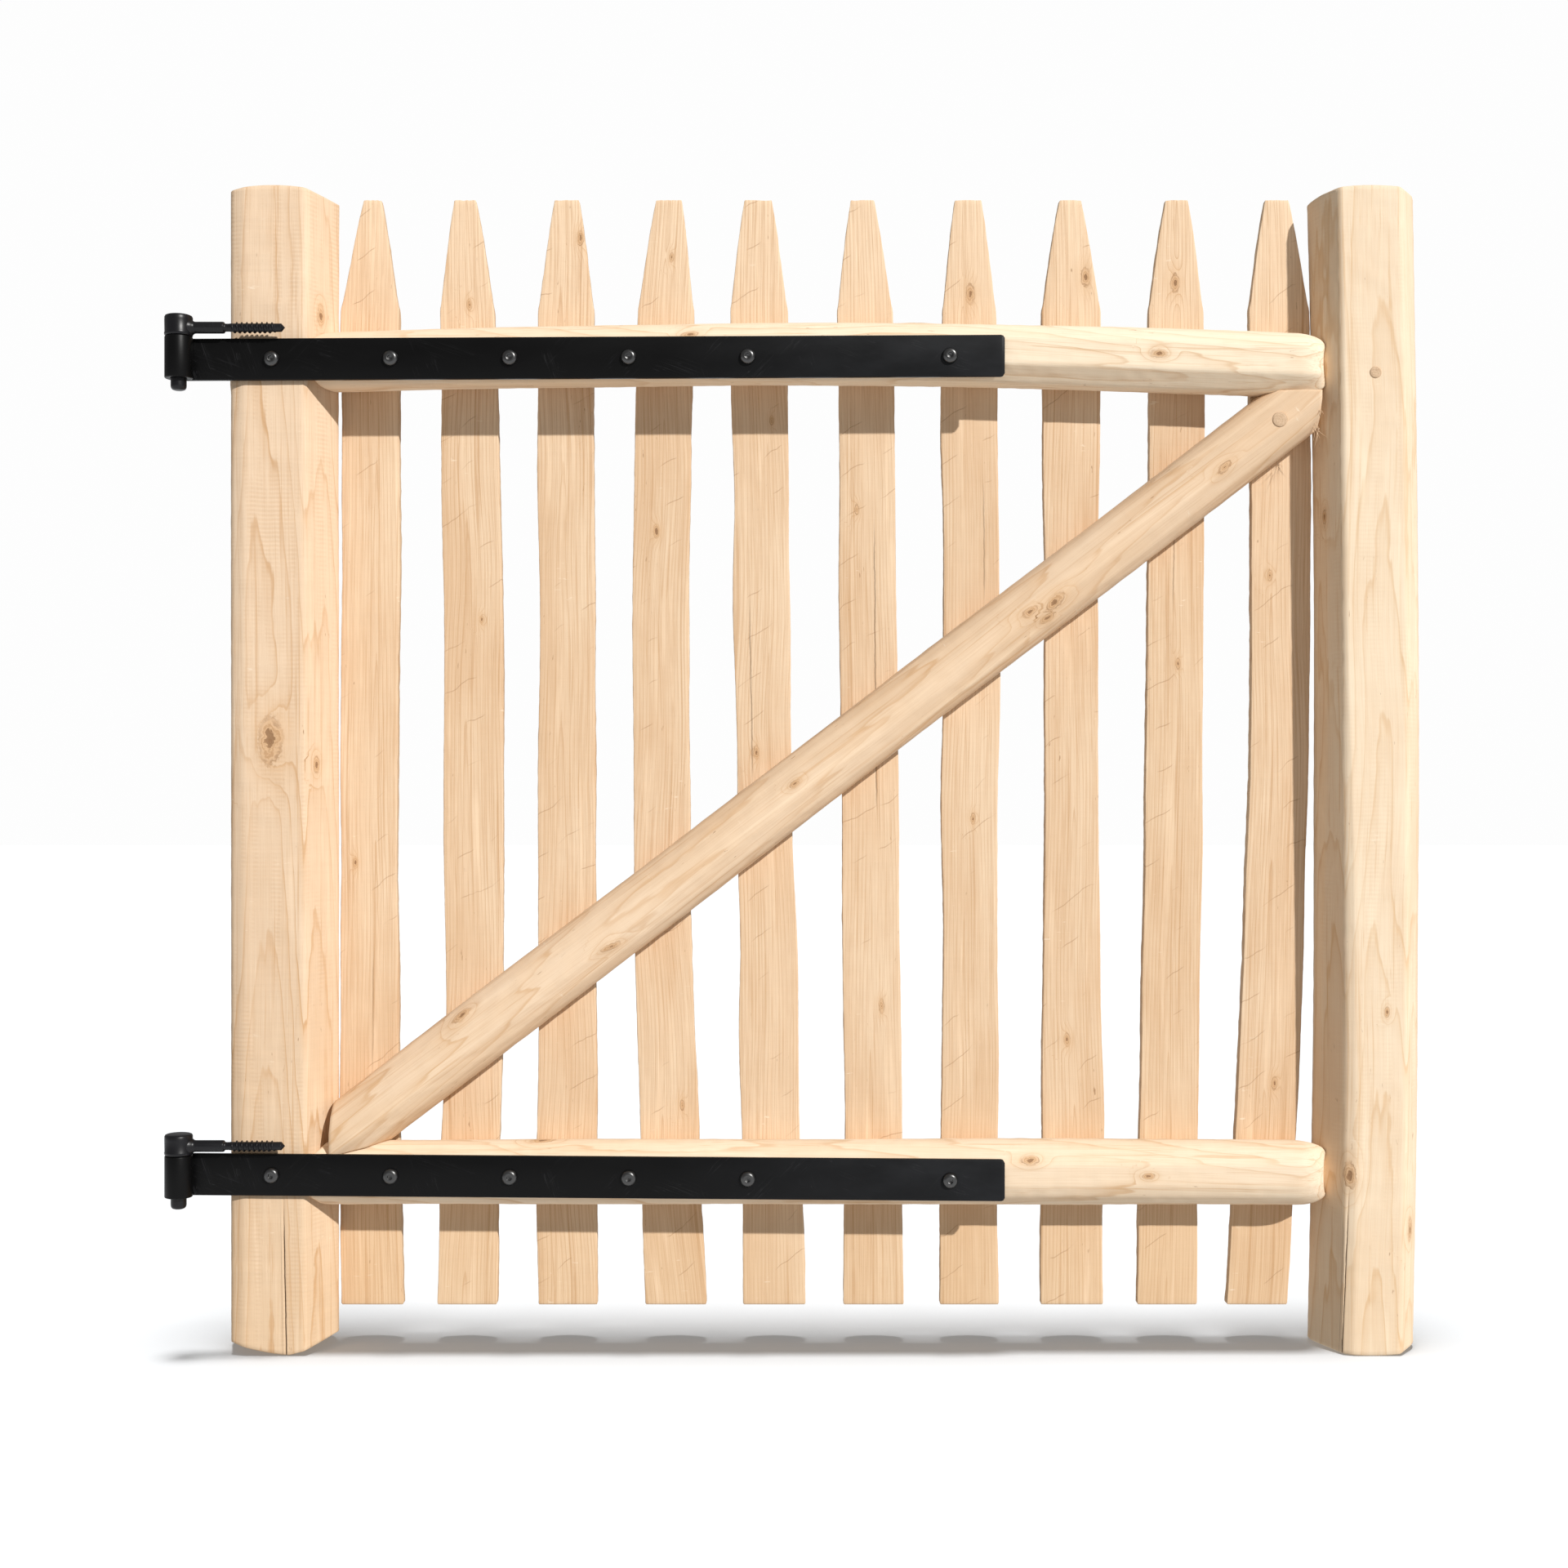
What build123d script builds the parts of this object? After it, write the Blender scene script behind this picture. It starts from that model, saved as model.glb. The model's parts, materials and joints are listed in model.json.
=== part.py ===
from build123d import *
import os

os.makedirs("parts", exist_ok=True)

# A one-metre garden gate of peeled round poles: two posts, two rails tenoned into them, a diagonal
# brace, ten pointed pickets nailed to the back, and two strap hinges whose pintles swing in the eyes.
# X runs from the hinge post to the latch post, Y from the strap side (front) to the picket side
# (back), Z is up. The origin is the centre of the hinge post's foot. All sizes are in millimetres.

# ---------------------------------------------------------------- driving dimensions
gate_width = 1016.0            # outside to outside of the posts at their feet
gate_height = 987.0            # height of the posts

hinge_post_d = 91.0
latch_post_d = 88.0
front_depth = 39.0             # from the hinge post's axis to the planed front face
latch_post_bow = 6.0           # the latch post bends outwards by this much at mid height
post_chamfer = 2.0

top_rail_d = 52.0
bottom_rail_d = 56.0
top_rail_drop = 146.0          # from the tops of the posts down to the rail's axis at its ends
top_rail_bow = 8.0             # rise of the axis at mid span
bottom_rail_z = 150.0          # height of the rail's axis at its ends
bottom_rail_bow = 0.8
rail_flat = 2.5                # planed off the round to seat the straps
back_depth = 45.0              # from the front face to the planed backs that carry the pickets

tenon_d = 36.0
tenon_past_axis = 16.0         # how far a tenon runs beyond the post's axis
mortise_clearance = 0.1        # radial
mortise_end_gap = 1.0

brace_d = 55.0
brace_front_gap = 0.5          # the brace stands back from the front plane by this much
brace_end_gap = 1.0            # between the sawn ends and the posts
brace_seat = 3.0               # the axis enters the lower corner this far below the rail's top

picket_count = 10
picket_w = 48.0
picket_t = 20.0
picket_edge_t = 9.0            # thickness at the long edges, in front of the rounded back
picket_bottom_z = 32.0
picket_tip_drop = 0.0          # how far the tips stay below the tops of the posts
picket_point_l = 98.0          # length of the cut point
picket_cheek = 0.36            # half width midway up the point, as a share of the width
picket_tip_w = 19.0
picket_nib_h = 1.0             # rise of the blunt tip at its middle
picket_side_gap = 2.5          # between the outer pickets and the posts
# each round pale is a little different: offsets of its foot, middle and tip from the even pitch
foot_offsets = [3.0, -2.0, -2.0, 4.5, 2.0, 0.5, -4.0, -3.0, -7.0, -14.0]
middle_offsets = [0.0, 3.5, -3.5, -8.5, -6.5, -2.0, -2.0, -1.0, -0.5, -1.0]
tip_offsets = [3.0, -4.5, -3.0, -2.0, -12.0, -9.0, -5.0, -4.5, 2.0, -1.0]

strap_w = 35.0
strap_t = 5.0
strap_reach = 692.0            # from the eye's axis to the tip
strap_first_hole = 76.0        # from the eye's axis
strap_hole_pitch = 100.0
strap_pitched_holes = 5
strap_last_hole = 170.0        # from the last pitched hole
strap_hole_r = 3.3
strap_corner_r = 3.0
eye_gap = 30.0                 # from the eye's axis to the hinge post's side
upper_strap_lift = -2.3        # middle of the strap at its eye, above the rail's axis at its ends
upper_strap_rise = 3.4         # from the eye to the tip
lower_strap_lift = 4.0
lower_strap_rise = -5.2
eye_seam_gap = 0.8             # between the rolled end of the eye and the strap

pin_r = 6.5
pin_clearance = 0.05           # radial, pin in eye
pin_overhang = 10.0            # pin showing below the eye
pin_end_round = 2.5
head_r = 11.8
head_h = 17.5
head_gap = 0.3                 # between the pintle's head and the eye
head_round = 2.0
boss_r = 6.4
boss_reach = 13.5              # from the pin's axis to the end of the forged boss
shank_r = 4.9
shank_rise = 7.6               # shank's axis above the top of the eye
shank_end = 38.0               # all distances along the shank are from the pin's axis
neck_r = 3.3
neck_end = 43.0
thread_major_r = 4.7
thread_root_r = 3.5
thread_pitch = 4.2
thread_turns = 8
thread_tip = 89.0
thread_crest = 0.16            # width of a crest, as a share of the pitch
neck_taper_l = 1.2

screw_r = 3.0
screw_l = 40.0
screw_point = 5.0
screw_head_r = 6.6
screw_head_h = 4.2
screw_rim_h = 0.8              # straight rim below the domed part of the head
screw_crown_r = 3.2            # flat round the socket
screw_dome_share = (0.82, 0.75)  # a point of the dome, as shares of the head's radius and height
socket_af = 4.0
socket_depth = 2.4
wood_hole_clearance = 0.05     # radial, round every screw, nail and peg
drill_overrun = 1.0            # how far a drill starts outside the wood
hole_end_gap = 0.5             # between a fastener's end and the bottom of its hole

peg_r = 5.0
peg_l = 50.0
peg_drop = 12.0                # the top peg's axis below the rail's axis
bottom_peg_l = 60.0
bottom_peg_inset = 0.5         # its end stays this far inside the post's round back
brace_peg_r = 6.5
brace_peg_l = 30.0
brace_peg_inset = 32.0         # from the brace's upper sawn end, measured along X

nail_r = 1.5
nail_l = 45.0
nail_point = 4.0
nail_head_r = 3.5
nail_head_t = 1.2
nail_sink = 1.3                # depth of the head's seat in the picket
nail_spread = 13.0             # the two nails stand this far above and below the rail's axis

# ---------------------------------------------------------------- places worked out from them
front_y = -front_depth
back_y = front_y + back_depth
hinge_r = hinge_post_d / 2
latch_r = latch_post_d / 2
latch_x = gate_width - hinge_r - latch_r
top_rail_y = front_y + top_rail_d / 2 - rail_flat
bottom_rail_y = front_y + bottom_rail_d / 2 - rail_flat
brace_y = front_y + brace_front_gap + brace_d / 2
top_rail_z = gate_height - top_rail_drop
upper_strap_z = top_rail_z + upper_strap_lift
lower_strap_z = bottom_rail_z + lower_strap_lift
eye_x = -hinge_r - eye_gap
eye_inner_r = pin_r + pin_clearance
eye_outer_r = eye_inner_r + strap_t
eye_y = front_y - eye_outer_r
hole_offsets = [strap_first_hole + i * strap_hole_pitch for i in range(strap_pitched_holes)]
hole_offsets.append(hole_offsets[-1] + strap_last_hole)
picket_top_z = gate_height - picket_tip_drop
picket_l = picket_top_z - picket_bottom_z
picket_back_y = back_y + picket_t


def bowed(start, end, bow, t):
    """A value along a gently bowed pole, at the fraction t of its length."""
    return start + (end - start) * t + 4 * bow * t * (1 - t)


def latch_axis_x(z):
    return bowed(latch_x, latch_x, latch_post_bow, z / gate_height)


def top_rail_axis_z(x):
    return bowed(top_rail_z, top_rail_z, top_rail_bow, x / latch_x)


def bottom_rail_axis_z(x):
    return bowed(bottom_rail_z, bottom_rail_z, bottom_rail_bow, x / latch_x)


# ---------------------------------------------------------------- posts and rails before drilling
with BuildPart() as hinge_post_blank:
    with BuildSketch(Plane.XY):
        Circle(hinge_r)
        with Locations((0, front_y - hinge_r)):
            Rectangle(2 * hinge_r, 2 * hinge_r, mode=Mode.SUBTRACT)
    extrude(amount=gate_height)
    chamfer(hinge_post_blank.faces().sort_by(Axis.Z)[-1].edges(), post_chamfer)

with BuildPart() as latch_post_blank:
    for level in (0, gate_height / 2, gate_height):
        with BuildSketch(Plane.XY.offset(level)):
            with Locations((latch_axis_x(level), 0)):
                Circle(latch_r)
            with Locations((latch_axis_x(level), front_y - latch_r)):
                Rectangle(2 * latch_r, 2 * latch_r, mode=Mode.SUBTRACT)
    loft()


def rail_blank(rail_d, axis_y, axis_z):
    """A bowed round pole from post axis to post axis, planed flat in front and behind."""
    with BuildPart() as blank:
        for x in (0, latch_x / 2, latch_x):
            section = Plane(origin=(x, axis_y, axis_z(x)), x_dir=(0, 1, 0), z_dir=(1, 0, 0))
            with BuildSketch(section):
                Circle(rail_d / 2)
                with Locations((front_y - axis_y + back_depth / 2, 0)):
                    Rectangle(back_depth, rail_d, mode=Mode.INTERSECT)
        loft()
    return blank.part


top_rail_blank = rail_blank(top_rail_d, top_rail_y, top_rail_axis_z)
bottom_rail_blank = rail_blank(bottom_rail_d, bottom_rail_y, bottom_rail_axis_z)

# ---------------------------------------------------------------- fasteners
with BuildPart() as strap_screw:
    # a button-head wood screw whose head sits on the plane Y = 0 and whose shank points to +Y
    with BuildSketch(Plane.XY):
        with BuildLine():
            Polyline(
                (0, screw_l),
                (screw_r, screw_l - screw_point),
                (screw_r, 0),
                (screw_head_r, 0),
                (screw_head_r, -screw_rim_h),
            )
            ThreePointArc(
                (screw_head_r, -screw_rim_h),
                (screw_head_r * screw_dome_share[0], -screw_head_h * screw_dome_share[1]),
                (screw_crown_r, -screw_head_h),
            )
            Polyline((screw_crown_r, -screw_head_h), (0, -screw_head_h), (0, screw_l))
        make_face()
    revolve(axis=Axis.Y)
    with BuildSketch(Plane.XZ.offset(screw_head_h)):
        RegularPolygon(radius=socket_af / 2, side_count=6, major_radius=False)
    extrude(amount=-socket_depth, mode=Mode.SUBTRACT)

with BuildPart() as picket_nail:
    # a flat-headed nail whose head's back lies on the plane Y = 0 and whose shank points to -Y
    with BuildSketch(Plane.XY):
        with BuildLine():
            Polyline(
                (0, 0),
                (nail_head_r, 0),
                (nail_head_r, -nail_head_t),
                (nail_r, -nail_head_t),
                (nail_r, nail_point - nail_l),
                (0, -nail_l),
                (0, 0),
            )
        make_face()
    revolve(axis=Axis.Y)


def strap_hole_points(axis_z, rise):
    """Centres of a strap's screws, as (x, z)."""
    return [(eye_x + hole, axis_z + rise * hole / strap_reach) for hole in hole_offsets]


upper_holes = strap_hole_points(upper_strap_z, upper_strap_rise)
lower_holes = strap_hole_points(lower_strap_z, lower_strap_rise)


def screw_group(points):
    """One strap's wood screws, seated on the strap's front face."""
    with BuildPart() as group:
        with Locations(*[(x, front_y - strap_t, z) for x, z in points]):
            add(strap_screw.part)
    return group.part


upper_strap_screws = screw_group(upper_holes)
lower_strap_screws = screw_group(lower_holes)


def even_picket_x(i):
    """Even pitch between the two posts, with the side gap kept at both ends."""
    first = hinge_r + picket_side_gap + picket_w / 2
    last = latch_x - latch_r - picket_side_gap - picket_w / 2
    return first + (last - first) * i / (picket_count - 1)


def picket_points(i):
    """Axis of one picket as its foot, middle and tip, kept between the posts."""
    low = even_picket_x(0)
    high = even_picket_x(picket_count - 1)
    offsets = (foot_offsets[i], middle_offsets[i], tip_offsets[i])
    xs = [min(max(even_picket_x(i) + offset, low), high) for offset in offsets]
    heights = (picket_bottom_z, picket_bottom_z + picket_l / 2, picket_top_z)
    return [(x, back_y, z) for x, z in zip(xs, heights)]


def picket_axis_x(i, z):
    foot, middle, tip = picket_points(i)
    bow = middle[0] - (foot[0] + tip[0]) / 2
    return bowed(foot[0], tip[0], bow, (z - picket_bottom_z) / picket_l)


# the brace's axis runs from the corner of hinge post and bottom rail to the opposite corner
brace_low = Vector(hinge_r, brace_y, bottom_rail_z + bottom_rail_d / 2 - brace_seat)
brace_high = Vector(latch_x - latch_r, brace_y, top_rail_z - top_rail_d / 2)
brace_dir = (brace_high - brace_low).normalized()
brace_slope = brace_dir.Z / brace_dir.X


def brace_axis_z(x):
    return brace_low.Z + (x - brace_low.X) * brace_slope


top_nails = []
bottom_nails = []
brace_nails = []
for i in range(picket_count):
    for side in (-1, 1):
        top_x = picket_axis_x(i, top_rail_z)
        top_nails.append((top_x, top_rail_axis_z(top_x) + side * nail_spread))
        low_x = picket_axis_x(i, bottom_rail_z)
        bottom_nails.append((low_x, bottom_rail_axis_z(low_x) + side * nail_spread))
for i in range(1, picket_count - 1):
    cross_x = picket_axis_x(i, brace_axis_z(even_picket_x(i)))
    brace_nails.append((cross_x, brace_axis_z(cross_x)))


def nail_group(points):
    """Nails driven through the pickets from behind, their heads sunk just below the wood."""
    with BuildPart() as group:
        head_y = picket_back_y - nail_sink + nail_head_t
        with Locations(*[(x, head_y, z) for x, z in points]):
            add(picket_nail.part)
    return group.part


picket_nails_top = nail_group(top_nails)
picket_nails_bottom = nail_group(bottom_nails)
picket_nails_brace = nail_group(brace_nails)

peg_x = latch_axis_x(top_rail_z)
with BuildPart() as top_rail_peg:
    with BuildSketch(Plane.XZ.offset(-front_y)):
        with Locations((peg_x, top_rail_z - peg_drop)):
            Circle(peg_r)
    extrude(amount=-peg_l)

with BuildPart() as bottom_rail_peg:
    # driven from behind, so its end is cut to the post's round back
    with BuildSketch(Plane.XZ.offset(bottom_peg_inset - latch_r)):
        with Locations((latch_axis_x(bottom_rail_z), bottom_rail_z)):
            Circle(peg_r)
    extrude(amount=bottom_peg_l)

brace_peg_x = latch_x - latch_r - brace_end_gap - brace_peg_inset
with BuildPart() as brace_peg:
    with BuildSketch(Plane.XZ.offset(-(front_y + brace_front_gap + rail_flat))):
        with Locations((brace_peg_x, brace_axis_z(brace_peg_x))):
            Circle(brace_peg_r)
    extrude(amount=-brace_peg_l)


def drill(points, radius, start_y, end_y):
    """Round holes along +Y, cut from the piece that is being built."""
    with BuildSketch(Plane.XZ.offset(-start_y)) as holes:
        with Locations(*points):
            Circle(radius + wood_hole_clearance)
    extrude(holes.sketch, amount=start_y - end_y, mode=Mode.SUBTRACT)


def drill_strap_holes(points):
    screw_end_y = front_y - strap_t + screw_l
    drill(points, screw_r, front_y - drill_overrun, screw_end_y + hole_end_gap)


def drill_nail_holes(points):
    nail_end_y = picket_back_y - nail_sink + nail_head_t - nail_l
    drill(points, nail_r, nail_end_y - hole_end_gap, picket_back_y + drill_overrun)


def drill_top_peg():
    peg_end_y = front_y + peg_l
    drill([(peg_x, top_rail_z - peg_drop)], peg_r, front_y - drill_overrun, peg_end_y + hole_end_gap)


def drill_bottom_peg():
    place = (latch_axis_x(bottom_rail_z), bottom_rail_z)
    peg_end_y = latch_r - bottom_peg_inset - bottom_peg_l
    drill([place], peg_r, peg_end_y - hole_end_gap, latch_r + drill_overrun)


def drill_brace_peg():
    place = (brace_peg_x, brace_axis_z(brace_peg_x))
    peg_end_y = front_y + brace_front_gap + rail_flat + brace_peg_l
    drill([place], brace_peg_r, front_y - drill_overrun, peg_end_y + hole_end_gap)


# ---------------------------------------------------------------- posts
tenon_r = tenon_d / 2
mortise_r = tenon_r + mortise_clearance
rails = ((top_rail_y, top_rail_z), (bottom_rail_y, bottom_rail_z))

with BuildPart() as hinge_post:
    add(hinge_post_blank.part)
    for rail_y, rail_z in rails:
        with BuildSketch(Plane.YZ.offset(-tenon_past_axis - mortise_end_gap)):
            with Locations((rail_y, rail_z)):
                Circle(mortise_r)
        extrude(amount=hinge_post_d, mode=Mode.SUBTRACT)
    drill_strap_holes(upper_holes[:1] + lower_holes[:1])

with BuildPart() as latch_post:
    add(latch_post_blank.part)
    for rail_y, rail_z in rails:
        with BuildSketch(Plane.YZ.offset(latch_x + tenon_past_axis + mortise_end_gap)):
            with Locations((rail_y, rail_z)):
                Circle(mortise_r)
        extrude(amount=-latch_post_d, mode=Mode.SUBTRACT)
    drill_top_peg()
    drill_bottom_peg()


# ---------------------------------------------------------------- rails
def tenons(axis_y, axis_z):
    """A round bar along X that makes the tenons at both ends of a rail, no deeper than its back."""
    with BuildSketch(Plane.YZ.offset(-tenon_past_axis)) as bar:
        with Locations((axis_y, axis_z)):
            Circle(tenon_r)
        with Locations((front_y + back_depth / 2, axis_z)):
            Rectangle(back_depth, tenon_d, mode=Mode.INTERSECT)
    extrude(bar.sketch, amount=latch_x + 2 * tenon_past_axis)


with BuildPart() as top_rail:
    add(top_rail_blank)
    add(hinge_post_blank.part, mode=Mode.SUBTRACT)
    add(latch_post_blank.part, mode=Mode.SUBTRACT)
    tenons(top_rail_y, top_rail_z)
    drill_strap_holes(upper_holes)
    drill_nail_holes(top_nails)
    drill_top_peg()

with BuildPart() as bottom_rail:
    add(bottom_rail_blank)
    add(hinge_post_blank.part, mode=Mode.SUBTRACT)
    add(latch_post_blank.part, mode=Mode.SUBTRACT)
    tenons(bottom_rail_y, bottom_rail_z)
    drill_strap_holes(lower_holes)
    drill_nail_holes(bottom_nails)
    drill_bottom_peg()

# ---------------------------------------------------------------- brace
brace_left_x = hinge_r + brace_end_gap
brace_right_x = latch_x - latch_r - brace_end_gap
brace_overrun = 2 * brace_d

with BuildPart() as diagonal_brace:
    brace_start = brace_low - brace_dir * brace_overrun
    with BuildSketch(Plane(origin=brace_start, x_dir=(0, 1, 0), z_dir=brace_dir)):
        Circle(brace_d / 2)
        with Locations((front_y + rail_flat + brace_front_gap - brace_y + back_depth / 2, 0)):
            Rectangle(back_depth, brace_d, mode=Mode.INTERSECT)
        with Locations((back_y - brace_y + brace_d / 2, 0)):
            Rectangle(brace_d, brace_d, mode=Mode.SUBTRACT)
    extrude(amount=(brace_high - brace_low).length + 2 * brace_overrun)
    # sawn off upright beside each post, and cut level with the rails' axes
    with BuildSketch(Plane.XZ.offset(-front_y + brace_d)):
        with Locations(((brace_left_x + brace_right_x) / 2, (bottom_rail_z + top_rail_z) / 2)):
            Rectangle(brace_right_x - brace_left_x, top_rail_z - bottom_rail_z)
    extrude(amount=-3 * brace_d, mode=Mode.INTERSECT)
    add(top_rail_blank, mode=Mode.SUBTRACT)
    add(bottom_rail_blank, mode=Mode.SUBTRACT)
    drill_nail_holes(brace_nails)
    drill_brace_peg()


# ---------------------------------------------------------------- pickets
def picket(i, nails):
    """One bowed pale: flat in front, rounded behind, cut to a blunt point."""
    point_z = picket_top_z - picket_point_l
    point_x = picket_axis_x(i, point_z)
    tip_x = picket_axis_x(i, picket_top_z)
    with BuildPart() as pale:
        for x, y, z in picket_points(i):
            with BuildSketch(Plane.XY.offset(z)):
                with BuildLine():
                    Polyline(
                        (x - picket_w / 2, y + picket_edge_t),
                        (x - picket_w / 2, y),
                        (x + picket_w / 2, y),
                        (x + picket_w / 2, y + picket_edge_t),
                    )
                    ThreePointArc(
                        (x + picket_w / 2, y + picket_edge_t),
                        (x, y + picket_t),
                        (x - picket_w / 2, y + picket_edge_t),
                    )
                make_face()
        loft()
        # two gentle curves, one on each side of the tip, take away the corners
        for side in (-1, 1):
            with BuildSketch(Plane.XZ.offset(picket_t - back_y)) as corner:
                with BuildLine():
                    shoulder = (point_x + side * (picket_w / 2 + 1), point_z)
                    cheek = (tip_x + side * picket_w * picket_cheek, (point_z + picket_top_z) / 2)
                    nib = (tip_x + side * picket_tip_w / 2, picket_top_z - picket_nib_h)
                    crown = (tip_x, picket_top_z)
                    above = picket_top_z + picket_w
                    beside = tip_x + side * picket_w
                    ThreePointArc(shoulder, cheek, nib)
                    Polyline(nib, crown, (tip_x, above), (beside, above), (beside, point_z), shoulder)
                make_face()
            extrude(amount=-3 * picket_t, mode=Mode.SUBTRACT)
        drill_nail_holes(nails)
        with BuildSketch(Plane.XZ.offset(-(picket_back_y - nail_sink))):
            with Locations(*nails):
                Circle(nail_head_r + wood_hole_clearance)
        extrude(amount=-2 * nail_sink, mode=Mode.SUBTRACT)
    return pale.part


pickets = []
for i in range(picket_count):
    own_nails = top_nails[2 * i:2 * i + 2] + bottom_nails[2 * i:2 * i + 2]
    if 0 < i < picket_count - 1:
        own_nails = own_nails + [brace_nails[i - 1]]
    pickets.append(picket(i, own_nails))


# ---------------------------------------------------------------- strap hinges
def strap_hinge(axis_z, rise):
    """A flat strap with its end rolled into an eye that stands proud of the front."""
    with BuildPart() as hinge:
        with BuildSketch(Plane.XZ.offset(-front_y)) as outline:
            with BuildLine():
                Polyline(
                    (eye_x, axis_z - strap_w / 2),
                    (eye_x + strap_reach, axis_z + rise - strap_w / 2),
                    (eye_x + strap_reach, axis_z + rise + strap_w / 2),
                    (eye_x, axis_z + strap_w / 2),
                    close=True,
                )
            make_face()
            fillet(outline.vertices().group_by(Axis.X)[-1], strap_corner_r)
        extrude(amount=strap_t)
        with BuildSketch(Plane.XY.offset(axis_z - strap_w / 2)):
            with Locations((eye_x, eye_y)):
                Circle(eye_outer_r)
        extrude(amount=strap_w)
        with BuildSketch(Plane.XY.offset(axis_z - strap_w / 2)):
            with Locations((eye_x, eye_y)):
                Circle(eye_inner_r)
            with Locations((eye_x + eye_outer_r / 2, front_y - strap_t - eye_seam_gap / 2)):
                Rectangle(eye_outer_r, eye_seam_gap)
        extrude(amount=strap_w, mode=Mode.SUBTRACT)
        with BuildSketch(Plane.XZ.offset(-front_y)):
            with Locations(*strap_hole_points(axis_z, rise)):
                Circle(strap_hole_r)
        extrude(amount=strap_t, mode=Mode.SUBTRACT)
    return hinge.part


upper_strap_hinge = strap_hinge(upper_strap_z, upper_strap_rise)
lower_strap_hinge = strap_hinge(lower_strap_z, lower_strap_rise)


# ---------------------------------------------------------------- pintles
def pintle(axis_z):
    """A hanging pin with a forged head and a threaded shank, parked in front of the post."""
    eye_top = axis_z + strap_w / 2
    shank_z = eye_top + shank_rise
    thread_start = neck_end + thread_pitch / 2
    with BuildPart() as body:
        with BuildSketch(Plane.XY.offset(eye_top - strap_w - pin_overhang)):
            with Locations((eye_x, eye_y)):
                Circle(pin_r)
        extrude(amount=strap_w + pin_overhang + head_gap + head_h / 2)
        fillet(body.faces().sort_by(Axis.Z)[0].edges(), pin_end_round)
        with BuildSketch(Plane.XY.offset(eye_top + head_gap)):
            with Locations((eye_x, eye_y)):
                Circle(head_r)
        extrude(amount=head_h)
        fillet(body.faces().sort_by(Axis.Z)[-1].edges(), head_round)
        with BuildSketch(Plane.YZ.offset(eye_x)):
            with Locations((eye_y, shank_z)):
                Circle(boss_r)
        extrude(amount=boss_reach)
        # smooth shank, neck and thread as one turned profile about the shank's own axis
        shank_plane = Plane(origin=(eye_x, eye_y, shank_z), x_dir=(1, 0, 0), z_dir=(0, -1, 0))
        with BuildSketch(shank_plane):
            with BuildLine():
                profile = [(0, 0), (0, shank_r), (shank_end, shank_r), (shank_end + neck_taper_l, neck_r)]
                profile.append((neck_end, neck_r))
                for turn in range(thread_turns):
                    crest = thread_start + turn * thread_pitch
                    profile.append((crest, thread_root_r))
                    profile.append((crest + thread_pitch * (1 - thread_crest) / 2, thread_major_r))
                    profile.append((crest + thread_pitch * (1 + thread_crest) / 2, thread_major_r))
                profile.append((thread_start + thread_turns * thread_pitch, thread_root_r))
                profile.append((thread_tip, 0))
                Polyline(*profile, close=True)
            make_face()
        revolve(axis=Axis((eye_x, eye_y, shank_z), (1, 0, 0)))
    return body.part


upper_pintle = pintle(upper_strap_z)
lower_pintle = pintle(lower_strap_z)

# ---------------------------------------------------------------- labels and files
nodes = {
    "hinge_post": hinge_post.part,
    "latch_post": latch_post.part,
    "top_rail": top_rail.part,
    "bottom_rail": bottom_rail.part,
    "diagonal_brace": diagonal_brace.part,
    "upper_strap_hinge": upper_strap_hinge,
    "lower_strap_hinge": lower_strap_hinge,
    "upper_pintle": upper_pintle,
    "lower_pintle": lower_pintle,
    "upper_strap_screws": upper_strap_screws,
    "lower_strap_screws": lower_strap_screws,
    "top_rail_peg": top_rail_peg.part,
    "bottom_rail_peg": bottom_rail_peg.part,
    "brace_peg": brace_peg.part,
    "picket_nails_top": picket_nails_top,
    "picket_nails_bottom": picket_nails_bottom,
    "picket_nails_brace": picket_nails_brace,
}
for i, pale in enumerate(pickets):
    nodes[f"picket_{i + 1:02d}"] = pale

for name, shape in nodes.items():
    shape.label = name
    export_step(shape, f"parts/{name}.step")
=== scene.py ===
import json
import math

import bpy
import numpy as np
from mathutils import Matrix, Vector


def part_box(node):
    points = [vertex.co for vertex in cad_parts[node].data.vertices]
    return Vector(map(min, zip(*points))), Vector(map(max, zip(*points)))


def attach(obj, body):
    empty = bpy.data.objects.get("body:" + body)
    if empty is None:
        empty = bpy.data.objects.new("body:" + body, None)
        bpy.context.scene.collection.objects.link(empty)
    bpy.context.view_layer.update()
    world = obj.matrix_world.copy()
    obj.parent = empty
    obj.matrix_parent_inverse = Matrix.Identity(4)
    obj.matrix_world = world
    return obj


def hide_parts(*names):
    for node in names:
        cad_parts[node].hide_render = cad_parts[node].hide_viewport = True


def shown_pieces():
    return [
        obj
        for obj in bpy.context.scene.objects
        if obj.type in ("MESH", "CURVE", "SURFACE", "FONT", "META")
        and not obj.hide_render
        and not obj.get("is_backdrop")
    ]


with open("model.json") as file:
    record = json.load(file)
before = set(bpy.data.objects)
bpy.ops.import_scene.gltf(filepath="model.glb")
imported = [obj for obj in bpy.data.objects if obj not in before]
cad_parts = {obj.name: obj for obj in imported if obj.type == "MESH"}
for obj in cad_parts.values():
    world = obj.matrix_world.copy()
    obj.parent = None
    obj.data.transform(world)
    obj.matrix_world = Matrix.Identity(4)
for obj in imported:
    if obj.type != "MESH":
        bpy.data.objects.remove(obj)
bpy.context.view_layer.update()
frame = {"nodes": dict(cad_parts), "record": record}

# A garden gate of peeled round poles with black strap hinges. Everything is in metres, in the
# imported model's frame: X from the hinge post to the latch post, Y from front to back, Z up.
MM = 0.001
TAU = 2 * math.pi

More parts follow.
